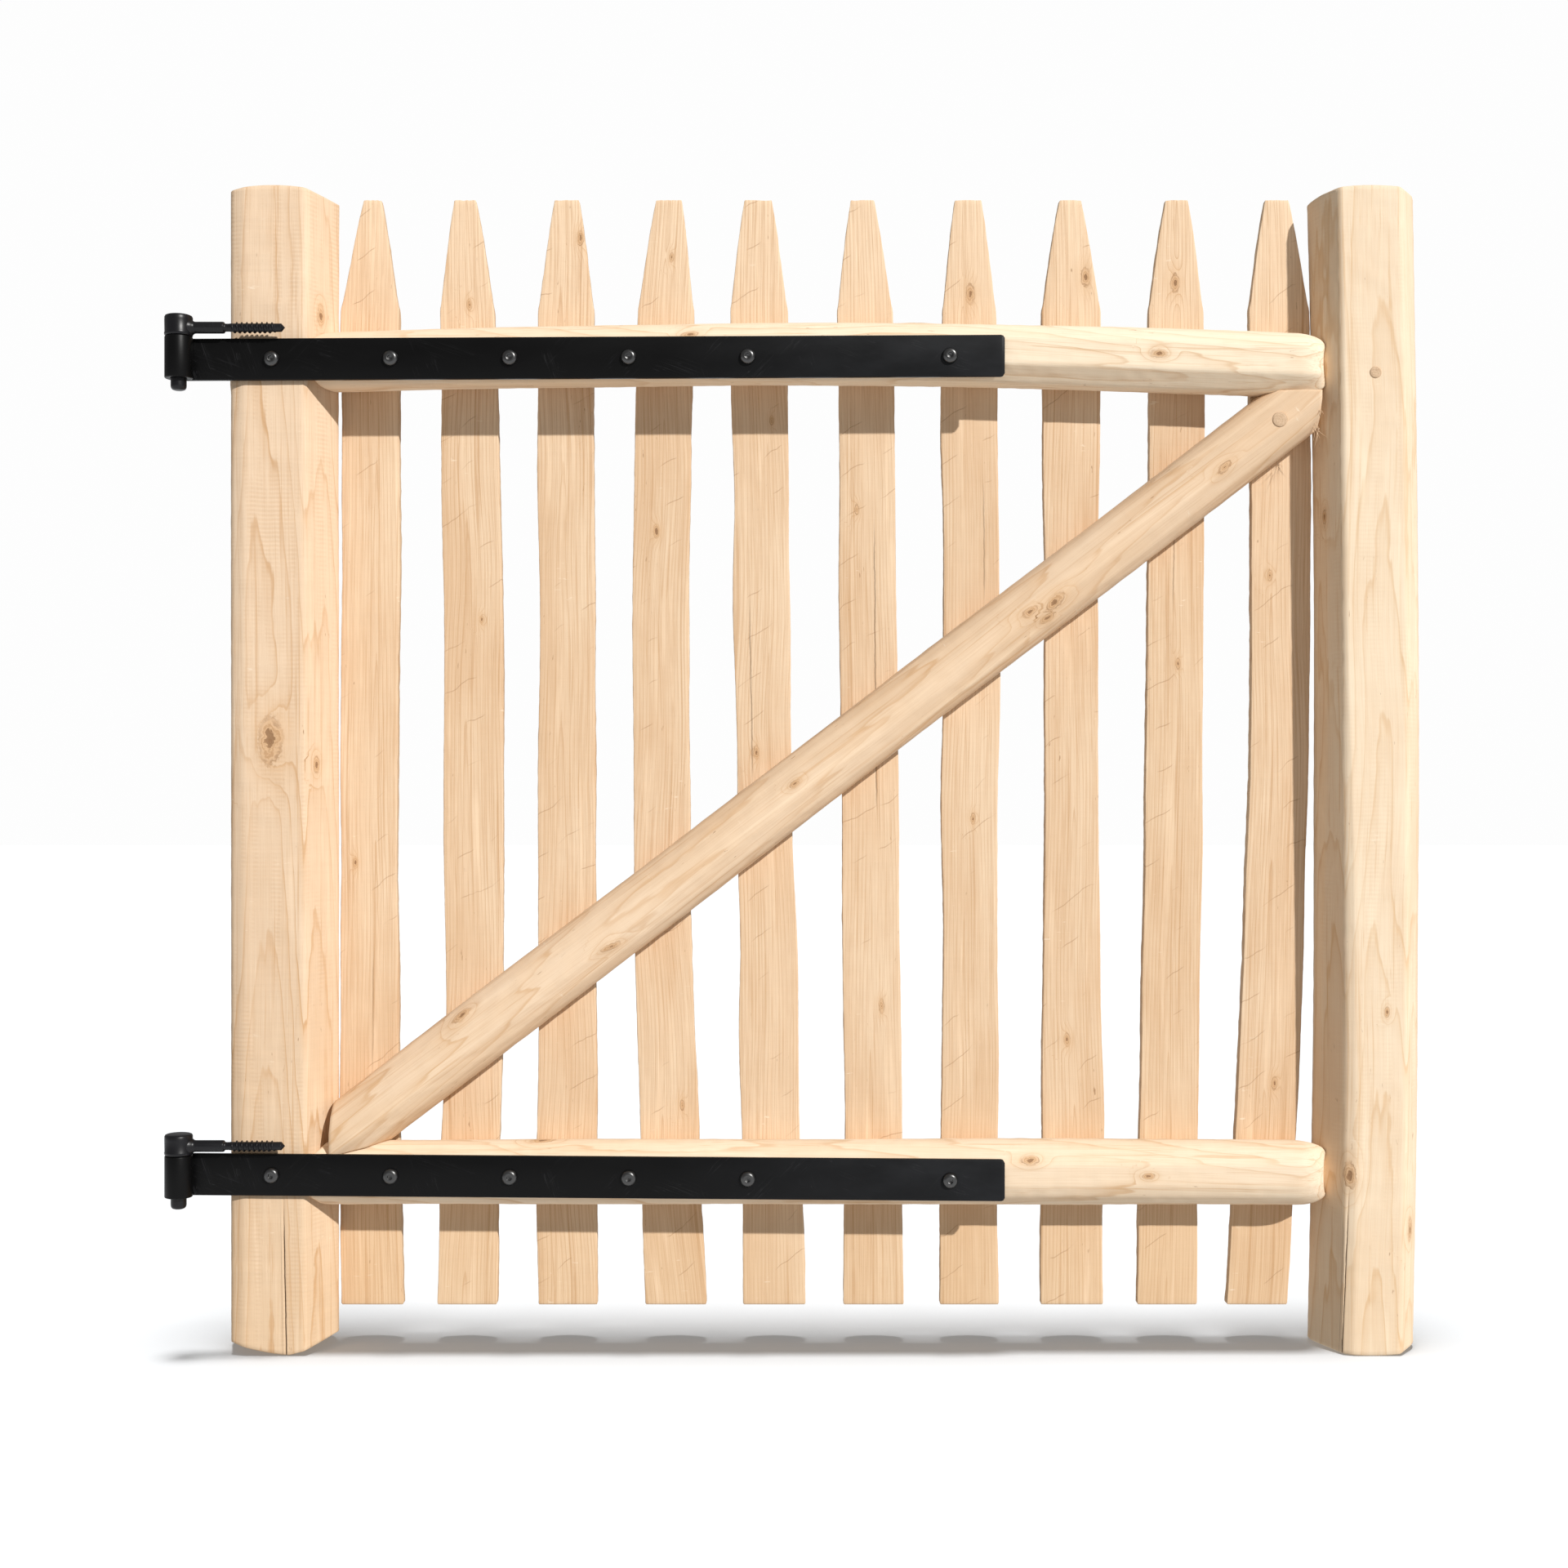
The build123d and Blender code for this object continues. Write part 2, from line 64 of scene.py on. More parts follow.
# ---- places, read from the frame
hinge_low, hinge_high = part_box("hinge_post")
latch_low, latch_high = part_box("latch_post")
top_low, top_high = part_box("top_rail")
bottom_low, bottom_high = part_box("bottom_rail")
brace_low, brace_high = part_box("diagonal_brace")

FRONT = hinge_low[1]  # the plane of the posts' and rails' front faces
BACK = top_high[1]  # the plane that the pickets' fronts lie in
HEIGHT = hinge_high[2]
HINGE_R = hinge_high[0]
LATCH_BOW = 6 * MM
LATCH_R = (latch_high[0] - latch_low[0] - LATCH_BOW) / 2
LATCH_X = latch_low[0] + LATCH_R
LATCH_SIDE = 43.4 * MM  # from the latch post's axis to its side
FACET_TURN = 212  # where the latch post's long facet faces, in degrees
LATCH_FACET = (39.5, 41.0, 44.0, 45.0, 44.0)  # its distance from the axis in mm, from foot to top
RAIL_FLAT = 2.5 * MM
RAIL_GAP = 0.2 * MM  # between a rail's ends and the posts
NOSE = 38.5 * MM  # from a rail's nose to the latch post's axis
NOSE_SLOPE = 0.25
TENON_R = 9 * MM  # drawn slimmer than the mortise, which hides it
TENON_END = 16 * MM
TENON_BACK = 12 * MM  # the latch end's tenon stands this much further back
TOP_BOW = 8 * MM
BOTTOM_BOW = 0.8 * MM


# ---- small helpers
def smooth(low, high, value):
    x = np.clip((value - low) / (high - low), 0, 1)
    return x * x * (3 - 2 * x)


def soft_min(a, b, rounding):
    """The lesser of two lengths, with the corner between them rounded."""
    h = np.clip(0.5 + 0.5 * (b - a) / rounding, 0, 1)
    return b * (1 - h) + a * h - rounding * h * (1 - h)


def between(*values):
    """A value that runs through evenly spaced ones as the fraction t goes from 0 to 1."""
    places = np.linspace(0, 1, len(values))
    return lambda t: np.interp(t, places, values)


def off_by(angles, middle):
    """How far angles lie from the middle one, in radians from -pi to pi."""
    return (angles - middle + math.pi) % TAU - math.pi


def wander(rng, size, terms=4):
    """A smooth random function of the fraction t, of about that size."""
    amounts = size * rng.normal(size=terms) / (1.0 + np.arange(terms))
    phases = rng.uniform(0, TAU, terms)

    def curve(t):
        waves = enumerate(zip(amounts, phases))
        return sum(a * np.sin(TAU * (k + 0.6) * t + p) for k, (a, p) in waves)

    return curve


def ripple(rng, size, waves_around, waves_along, terms=22):
    """An uneven surface: a random function of the angle and the fraction t."""
    around = rng.integers(0, waves_around + 1, terms)
    along = rng.uniform(0.5, waves_along, terms)
    phases = rng.uniform(0, TAU, terms)
    signs = rng.choice([-1, 1], terms)

    def surface(angle, t):
        total = 0
        for m, f, p, sign in zip(around, along, phases, signs):
            total = total + np.sin(m * angle + sign * TAU * f * t + p)
        return size * total / math.sqrt(terms)

    return surface


def finish_piece(obj, body, materials, nodes=()):
    """Gives a new piece its materials and its body, and hides the CAD nodes it stands for."""
    for material in materials:
        obj.data.materials.append(material)
    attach(obj, body)
    if nodes:
        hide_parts(*nodes)


def new_mesh(name, points, faces, face_materials=None, attributes=None):
    mesh = bpy.data.meshes.new(name)
    mesh.from_pydata([tuple(p) for p in points], [], faces)
    mesh.update()
    mesh.polygons.foreach_set("use_smooth", np.ones(len(mesh.polygons), dtype=bool))
    if face_materials is not None:
        mesh.polygons.foreach_set("material_index", np.array(face_materials, dtype=np.int32))
    for key, values in (attributes or {}).items():
        layer = mesh.attributes.new(key, "FLOAT_VECTOR", "POINT")
        layer.data.foreach_set("vector", np.asarray(values, dtype=np.float32).ravel())
    obj = bpy.data.objects.new(name, mesh)
    bpy.context.scene.collection.objects.link(obj)
    return obj


CAP_SHRINKS = (0.93, 0.82, 0.62, 0.4, 0.2)


def tube(rings, cap_shrinks=CAP_SHRINKS, crown=0.0):
    """Quads round a stack of closed rings, with both ends closed by shrinking rings.

    rings has the shape (rings, columns, 3). crown is how far each column of an end lies below its
    middle. Returns the points, the faces and, for each face, whether it is on an end. The extra end
    rings come after the wall's points."""
    count, columns, _ = rings.shape
    points = [rings.reshape(-1, 3)]
    faces = []
    ends = []
    crown = np.zeros((columns, 3)) + crown
    middle_crown = crown.mean(axis=0)
    step = np.arange(columns)
    after = (step + 1) % columns
    for i in range(count - 1):
        a, b = i * columns, (i + 1) * columns
        faces += [(a + j, a + k, b + k, b + j) for j, k in zip(step, after)]
    ends += [0] * len(faces)
    total = count * columns
    for ring_index, first in ((0, 0), (count - 1, (count - 1) * columns)):
        edge = rings[ring_index]
        centre = edge.mean(axis=0)
        outer = first
        flip = ring_index == 0
        outward = -1 if flip else 1
        for shrink in cap_shrinks:
            lift = crown * (shrink - shrink ** 2) + middle_crown * (1 - shrink)
            points.append(centre + (edge - centre) * shrink + lift * outward)
            for j, k in zip(step, after):
                quad = (outer + j, outer + k, total + k, total + j)
                faces.append(quad[::-1] if flip else quad)
            outer = total
            total += columns
        points.append(centre[None, :] + middle_crown * outward)
        for j, k in zip(step, after):
            triangle = (outer + j, outer + k, total)
            faces.append(triangle[::-1] if flip else triangle)
        total += 1
    ends += [1] * (len(faces) - len(ends))
    return np.concatenate(points), faces, ends


def stack(rings):
    """Points and faces of a stack of rings with plain fans at both ends."""
    return tube(np.array(rings), cap_shrinks=())[:2]


def facing_out(points, faces):
    """The faces of a closed shape, turned over if they face into it."""
    total = 0.0
    middle = points.mean(axis=0)
    for face in faces[:: max(1, len(faces) // 4000)]:
        a, b, c = (points[i] for i in face[:3])
        total += float(np.dot(np.cross(b - a, c - a), (a + b + c) / 3 - middle))
    return [face[::-1] for face in faces] if total < 0 else faces


def merge(parts):
    """Several closed shapes as the points and faces of one mesh."""
    points, faces, offset = [], [], 0
    for part_points, part_faces in parts:
        points.append(part_points)
        for face in facing_out(part_points, part_faces):
            faces.append(tuple(int(v) + offset for v in face))
        offset += len(part_points)
    return np.concatenate(points), faces


def over_caps(field, shrunk, shrinks=CAP_SHRINKS):
    """A field of the wall's points, carried on over tube's end rings. shrunk(edge, k) gives the
    values of an edge where it has shrunk to k; the middle point takes their mean."""
    values = [field.reshape(-1, 3)]
    for edge in (field[0], field[-1]):
        values += [shrunk(edge, k) for k in shrinks]
        values.append(shrunk(edge, 0.0).mean(axis=0, keepdims=True))
    return np.concatenate(values)


def knot_marks(shape, knots, reach, fade):
    """The knot attribute: x and y from the nearest knot in knot sizes, and how much it counts."""
    field = np.full(shape + (3,), (9.0, 9.0, 0.0))
    nearest = np.full(shape, 1e3)
    for x, y in knots:
        d = np.hypot(x, y)
        closer = (d < nearest) & (d < reach)
        nearest = np.where(closer, d, nearest)
        for part, values in enumerate((x, y, np.clip((reach - d) / fade, 0, 1))):
            field[..., part] = np.where(closer, values, field[..., part])
    return field


# ---- shader helpers
class Shader:
    """A material's node tree, written as short calls."""

    def __init__(self, name):
        self.material = bpy.data.materials.new(name)
        self.material.use_nodes = True
        self.tree = self.material.node_tree
        self.tree.nodes.clear()
        self.output = self.tree.nodes.new("ShaderNodeOutputMaterial")
        self.surface = self.tree.nodes.new("ShaderNodeBsdfPrincipled")
        self.tree.links.new(self.surface.outputs[0], self.output.inputs["Surface"])

    def put(self, socket, value):
        if isinstance(value, bpy.types.NodeSocket):
            self.tree.links.new(value, socket)
        elif value is not None:
            socket.default_value = value

    def surface_is(self, values):
        for key, value in values.items():
            self.put(self.surface.inputs[key], value)

    def math(self, operation, a, b=None, c=None, clamp=False):
        node = self.tree.nodes.new("ShaderNodeMath")
        node.operation = operation
        node.use_clamp = clamp
        for socket, value in zip(node.inputs, (a, b, c)):
            self.put(socket, value)
        return node.outputs[0]

    def times(self, a, b, clamp=False):
        return self.math("MULTIPLY", a, b, clamp=clamp)

    def plus(self, a, b, clamp=False):
        return self.math("ADD", a, b, clamp=clamp)

    def minus(self, a, b):
        return self.math("SUBTRACT", a, b)

    def times_plus(self, a, b, c, clamp=False):
        return self.math("MULTIPLY_ADD", a, b, c, clamp)

    def vector(self, operation, a, b=None):
        node = self.tree.nodes.new("ShaderNodeVectorMath")
        node.operation = operation
        self.put(node.inputs[0], a)
        self.put(node.inputs[1], b)
        return node.outputs["Value"] if operation == "LENGTH" else node.outputs[0]

    def split(self, vector):
        node = self.tree.nodes.new("ShaderNodeSeparateXYZ")
        self.put(node.inputs[0], vector)
        return node.outputs[0], node.outputs[1], node.outputs[2]

    def join(self, x, y, z):
        node = self.tree.nodes.new("ShaderNodeCombineXYZ")
        for socket, value in zip(node.inputs, (x, y, z)):
            self.put(socket, value)
        return node.outputs[0]

    def attribute(self, name):
        node = self.tree.nodes.new("ShaderNodeAttribute")
        node.attribute_name = name
        return node.outputs["Vector"]

    def noise(self, vector, detail=2.0, roughness=0.5):
        node = self.tree.nodes.new("ShaderNodeTexNoise")
        self.put(node.inputs["Vector"], vector)
        node.inputs["Scale"].default_value = 1.0
        node.inputs["Detail"].default_value = detail
        node.inputs["Roughness"].default_value = roughness
        return node.outputs["Fac"]

    def stretched(self, vector, across, along, detail=2.0, roughness=0.5):
        """Noise with one scale across the grain and another along it, per metre."""
        scaled = self.vector("MULTIPLY", vector, (across, across, along))
        return self.noise(scaled, detail, roughness)

    def rise(self, value, low, high):
        return self.ramp(value, [(low, 0.0), (high, 1.0)])

    def fall(self, value, low, high):
        return self.ramp(value, [(low, 1.0), (high, 0.0)])

    def patches(self, vector, scales, low, high):
        """Stretched noise as a mask that rises from 0 to 1 between two of its values."""
        return self.rise(self.stretched(vector, *scales), low, high)

    def ramp(self, value, stops):
        node = self.tree.nodes.new("ShaderNodeValToRGB")
        elements = node.color_ramp.elements
        while len(elements) < len(stops):
            elements.new(0.5)
        for element, (place, level) in zip(elements, stops):
            element.position = place
            element.color = (level, level, level, 1)
        self.put(node.inputs[0], value)
        return node.outputs[0]

    def mix(self, amount, a, b, blend="MIX"):
        node = self.tree.nodes.new("ShaderNodeMix")
        node.data_type = "RGBA"
        node.blend_type = blend
        self.put(node.inputs["Factor"], amount)
        self.put(node.inputs["A"], (*a, 1) if isinstance(a, tuple) else a)
        self.put(node.inputs["B"], (*b, 1) if isinstance(b, tuple) else b)
        return node.outputs["Result"]

    def stained(self, colour, mask, amount, stain):
        """The colour with so much of the stain laid over it where the mask is."""
        return self.mix(self.times(mask, amount), colour, stain)

    def bump(self, height, strength, distance):
        node = self.tree.nodes.new("ShaderNodeBump")
        node.inputs["Strength"].default_value = strength
        node.inputs["Distance"].default_value = distance
        self.put(node.inputs["Height"], height)
        self.tree.links.new(node.outputs[0], self.surface.inputs["Normal"])


# ---- materials
def wood(name, light, warm, late, ring_width, taper=7.0, rings=0.75, fibres=0.5, chatter=0.15,
         comb=0.0, saw_lines=0.0, warp=1.6, end=False):
    """Pale peeled softwood. The rings lie round the pith, so they show as long flames on flats,
    as fine lines on rounds and as circles on the ends."""
    s = Shader(name)
    grain = s.attribute("grain")
    across_x, across_y, along = s.split(grain)
    radius = s.vector("LENGTH", s.join(across_x, across_y, 0.0))
    knot_x, knot_y, knot_level = s.split(s.attribute("knot"))
    knot_distance = s.vector("LENGTH", s.join(knot_x, s.times(knot_y, 0.6), 0.0))
    nearness = s.times(s.times(knot_distance, knot_distance), -0.42)
    near_knot = s.times(knot_level, s.math("POWER", 2.718, nearness))

    # growth rings: a thin dark late line at the end of each pale year
    slow = s.minus(s.stretched(grain, 26.0, 2.6, 3.0), 0.5)
    wobble = s.minus(s.stretched(grain, 150.0, 14.0, 2.0), 0.5)
    phase = s.plus(s.math("DIVIDE", radius, ring_width * MM), s.times(along, taper))
    phase = s.times_plus(slow, warp * 2, phase)
    phase = s.times_plus(wobble, 0.34, phase)
    phase = s.times_plus(near_knot, 2.4, phase)
    year = s.math("FRACT", phase)
    ring = s.ramp(year, [(0.0, 0.0), (0.60, 0.05), (0.86, 0.38), (0.93, 1.0), (0.965, 0.9),
                         (1.0, 0.0)])
    strength = s.times_plus(s.stretched(grain, 40.0, 2.2, 2.0), 2.0, -0.45, clamp=True)
    ring = s.times(s.times(ring, s.times_plus(strength, 0.75, 0.25)), rings)

    patch = s.patches(grain, (16.0, 4.5, 4.0, 0.6), 0.38, 0.62)
    colour = s.mix(patch, light, warm)
    # the crack attribute: x is the distance across in widths of the crack, y the wood's own tone,
    # bleached above 0 and browned below it, z how open the crack is
    crack_x, tone, crack_level = s.split(s.attribute("crack"))
    bleached = tuple(min(0.93, c * 1.08 + 0.03) for c in light)
    browned = (warm[0] * 0.99, warm[1] * 0.95, warm[2] * 0.84)
    colour = s.mix(s.times(tone, 0.55, clamp=True), colour, bleached)
    colour = s.mix(s.times(tone, -0.55, clamp=True), colour, browned)
    colour = s.mix(ring, colour, late)
    fibre = s.stretched(grain, 900.0, 11.0, 3.0, 0.65)
    fibre_shade = s.ramp(fibre, [(0.32, 1.0), (0.5, 0.25), (0.66, 0.0)])
    colour = s.stained(colour, fibre_shade, fibres, s.mix(0.5, warm, late))
    streak = s.patches(grain, (260.0, 3.0, 3.0, 0.65), 0.585, 0.67)
    colour = s.stained(colour, streak, 0.42, late)
    pale = s.patches(grain, (120.0, 6.0, 3.0, 0.6), 0.57, 0.74)
    colour = s.stained(colour, pale, 0.5, tuple(min(0.95, c * 1.14) for c in light))

    # sparse brown specks, and small pale tears that run across
    for marks, marks_at, places, places_at, amount, stain in (
            ((360.0, 80.0, 2.0, 0.6), (0.70, 0.76), (30.0, 9.0, 1.0), (0.5, 0.62), 0.7,
             (0.28, 0.14, 0.06)),
            ((75.0, 300.0, 3.0, 0.6), (0.66, 0.72), (33.0, 21.0, 1.0), (0.60, 0.68), 0.6,
             (0.90, 0.76, 0.60))):
        mask = s.times(s.patches(grain, marks, *marks_at), s.patches(grain, places, *places_at))
        colour = s.stained(colour, mask, amount, stain)

    # saw chatter: a ladder of fine lines across the grain, in patches
    teeth = s.math("SINE", s.times_plus(slow, 9.0, s.times(along, TAU / (3.7 * MM))))
    teeth_place = s.patches(grain, (60.0, 8.0, 3.0, 0.6), 0.49, 0.62)
    teeth = s.times(s.times_plus(teeth, 0.5, 0.5), teeth_place)
    cut = s.stretched(grain, 18.0, 300.0, 3.0, 0.7)
    colour = s.stained(colour, teeth, comb, s.mix(0.5, warm, late))
    colour = s.mix(chatter * 0.4, colour, s.ramp(cut, [(0.35, 0.78), (0.6, 1.0)]), "MULTIPLY")
    height = s.times_plus(fibre, 0.4, s.times(cut, chatter))
    height = s.times_plus(teeth, -comb, height)
    if saw_lines:
        slant = s.times_plus(across_x, -17.0, s.times(along, 27.0))
        slant = s.times_plus(slow, 0.7, slant)
        line = s.math("ABSOLUTE", s.minus(s.math("FRACT", slant), 0.5))
        line = s.fall(line, 0.0, 0.02)
        line_place = s.patches(grain, (38.0, 11.0, 1.0), 0.55, 0.63)
        line = s.times(line, line_place)
        colour = s.stained(colour, line, saw_lines, (0.36, 0.19, 0.09))
        height = s.minus(height, s.times(line, 0.5))

    # knots: uneven rings round a small cracked heart, fading into stained wood
    fine = s.stretched(grain, 330.0, 330.0, 3.0, 0.6)
    coarse = s.stretched(grain, 95.0, 95.0, 2.0)
    core = s.times_plus(s.minus(coarse, 0.5), 1.1, knot_distance)
    core = s.times_plus(s.minus(fine, 0.5), 0.6, core)
    inside = s.times(s.fall(core, 0.45, 1.0), knot_level)
    stain = s.ramp(s.times(core, 0.4), [(0.2, 1.0), (0.62, 0.35), (1.0, 0.0)])
    colour = s.mix(s.times(s.times(stain, knot_level), 0.42), colour, (0.66, 0.40, 0.20))
    circle = s.ramp(s.math("FRACT", s.times(core, 3.4)), [(0.2, 0.0), (0.7, 1.0), (1.0, 0.1)])
    heart_colour = s.mix(circle, (0.66, 0.42, 0.23), (0.44, 0.235, 0.105))
    colour = s.stained(colour, inside, 0.75, heart_colour)
    rim = s.ramp(core, [(0.70, 0.0), (0.88, 1.0), (1.0, 0.0)])
    rim = s.times(s.times(rim, knot_level), s.ramp(coarse, [(0.42, 0.1), (0.6, 1.0)]))
    colour = s.stained(colour, rim, 0.6, (0.30, 0.15, 0.065))
    pit = s.times(s.fall(core, 0.12, 0.34), knot_level)
    colour = s.stained(colour, pit, 0.7, (0.20, 0.095, 0.04))
    height = s.times_plus(pit, -1.2, height)
    height = s.times_plus(rim, -0.6, height)

    # cracks: dark and open in the middle, with a ragged edge
    ragged = s.times(s.minus(s.stretched(grain, 90.0, 60.0, 3.0, 0.7), 0.5), 2.4)
    crack = s.math("ABSOLUTE", s.plus(crack_x, ragged))
    crack = s.times(s.fall(crack, 0.35, 1.0), crack_level)
    colour = s.stained(colour, crack, 0.85, (0.10, 0.05, 0.025))
    height = s.minus(height, s.times(crack, 1.4))

    if end:
        fuzz = s.stretched(grain, 900.0, 900.0, 3.0, 0.7)
        colour = s.mix(0.55, colour, s.ramp(fuzz, [(0.3, 0.55), (0.7, 0.9)]), "MULTIPLY")
        colour = s.mix(0.3, colour, (0.62, 0.42, 0.25))
        height = s.plus(height, fuzz)
    height = s.plus(height, s.times(ring, -0.25))
    rough = s.ramp(fibre, [(0.3, 0.82), (0.7, 0.66)])
    s.surface_is({"Base Color": colour, "Roughness": rough, "Specular IOR Level": 0.25})
    s.bump(height, 0.55, 0.45 * MM)
    return s.material


def black_steel(name, tone, dust_and_sheen_colour, roughness, dust_near=0.0, far_dust_and_sheen=0.0, scratches=0.5,
                shine=0.4, unevenness=0.5):
    """Black coated steel with an uneven sheen, fine scratches and dust; towards the far end the
    dust mix also paints a pale sheen of reflected light.
    """
    s = Shader(name)
    grain = s.attribute("grain")
    _, _, along = s.split(grain)
    cloud = s.stretched(grain, 34.0, 13.0, 4.0, 0.6)
    # painted sheen: towards the far end the paler colour stands for light reflected off the coat,
    # mixed with real dust
    far_end = s.times_plus(along, 3.5, -2.5, clamp=True)
    dust_and_sheen = s.times_plus(far_end, far_dust_and_sheen - dust_near, dust_near, clamp=True)
    dust_and_sheen = s.times(dust_and_sheen, s.ramp(cloud, [(0.3, 0.35), (0.7, 1.0)]))
    colour = s.mix(dust_and_sheen, tone, dust_and_sheen_colour)
    marks = None
    x, y, z = s.split(grain)
    for turn, spread in ((0.35, 310.0), (-0.8, 260.0), (1.25, 350.0)):
        slanted = s.plus(s.times(x, math.cos(turn)), s.times(z, math.sin(turn)))
        run = s.minus(s.times(z, math.cos(turn)), s.times(x, math.sin(turn)))
        field = s.noise(s.join(s.times(slanted, spread), s.times(run, 9.0), y))
        line = s.fall(s.math("ABSOLUTE", s.minus(field, 0.5)), 0.0, 0.008)
        where = s.noise(s.join(s.times(slanted, 30.0), s.times(run, 14.0), y))
        line = s.times(line, s.rise(where, 0.60, 0.70))
        marks = line if marks is None else s.math("MAXIMUM", marks, line)
    colour = s.stained(colour, marks, scratches, (0.05, 0.05, 0.054))
    fine = s.stretched(grain, 950.0, 950.0, 2.0)
    height = s.plus(s.times(fine, 0.35), s.times(cloud, 0.6))
    height = s.minus(height, s.times(marks, 0.4))
    rough = s.times_plus(cloud, 0.22, roughness - 0.11)
    rough = s.plus(rough, s.times(dust_and_sheen, 0.2), clamp=True)
    s.surface_is({"Base Color": colour, "Roughness": rough, "Specular IOR Level": shine})
    s.bump(height, unevenness, 0.12 * MM)
    return s.material


def zinc(name):
    s = Shader(name)
    grain = s.attribute("grain")
    cloud = s.stretched(grain, 600.0, 600.0, 3.0, 0.6)
    colour = s.mix(cloud, (0.34, 0.34, 0.35), (0.62, 0.62, 0.63))
    rough = s.ramp(cloud, [(0.3, 0.55), (0.7, 0.35)])
    s.surface_is({"Base Color": colour, "Roughness": rough, "Metallic": 0.9})
    s.bump(cloud, 0.4, 0.15 * MM)
    return s.material


# each wood's light, warm and late colours, the width of its rings in mm and its own settings
WOODS = {
    "hinge_post_wood": ((0.80, 0.615, 0.44), (0.73, 0.54, 0.37), (0.55, 0.30, 0.125), 5.2,
                        dict(taper=6.0, rings=0.78, comb=0.30, chatter=0.3, fibres=0.42)),
    "latch_post_wood": ((0.87, 0.72, 0.54), (0.80, 0.615, 0.435), (0.65, 0.40, 0.19), 6.0,
                        dict(taper=5.0, rings=0.68, comb=0.14, fibres=0.34)),
    "rail_wood": ((0.87, 0.71, 0.54), (0.80, 0.61, 0.425), (0.60, 0.35, 0.16), 4.6,
                  dict(rings=0.72, fibres=0.36)),
    "brace_wood": ((0.85, 0.665, 0.485), (0.77, 0.565, 0.38), (0.60, 0.34, 0.15), 5.0,
                   dict(rings=0.72, fibres=0.38)),
    "picket_wood": ((0.82, 0.63, 0.44), (0.735, 0.52, 0.335), (0.50, 0.27, 0.115), 3.0,
                    dict(taper=5.0, rings=0.64, saw_lines=0.5, warp=1.1, fibres=0.66)),
}
woods = {name: [wood(name, *base, **values), wood(name + "_end", *base, end=True, **values)]
         for name, (*base, values) in WOODS.items()}
peg_wood = wood("peg_wood", (0.74, 0.54, 0.365), (0.66, 0.45, 0.28), (0.42, 0.24, 0.12), 2.2,
                end=True)
# the strap grows paler towards its tip: real dust and a painted sheen of reflected light
strap_paint = black_steel("strap_paint", (0.0018, 0.0018, 0.0019), (0.017, 0.018, 0.0205), 0.38,
                          dust_near=0.02, far_dust_and_sheen=0.95, shine=0.13)
pintle_paint = black_steel("pintle_paint", (0.003, 0.003, 0.0042), (0.02, 0.02, 0.024), 0.34,
                           dust_near=0.12, far_dust_and_sheen=0.12, scratches=0.3, shine=0.30)
screw_black = black_steel("screw_black", (0.0012, 0.0012, 0.0015), (0.01, 0.01, 0.012), 0.32,
                          dust_near=0.02, far_dust_and_sheen=0.02, scratches=0.1, shine=1.0, unevenness=0.06)
nail_steel = zinc("nail_steel")


# ---- peeled poles
RING_STEP = 3.2 * MM


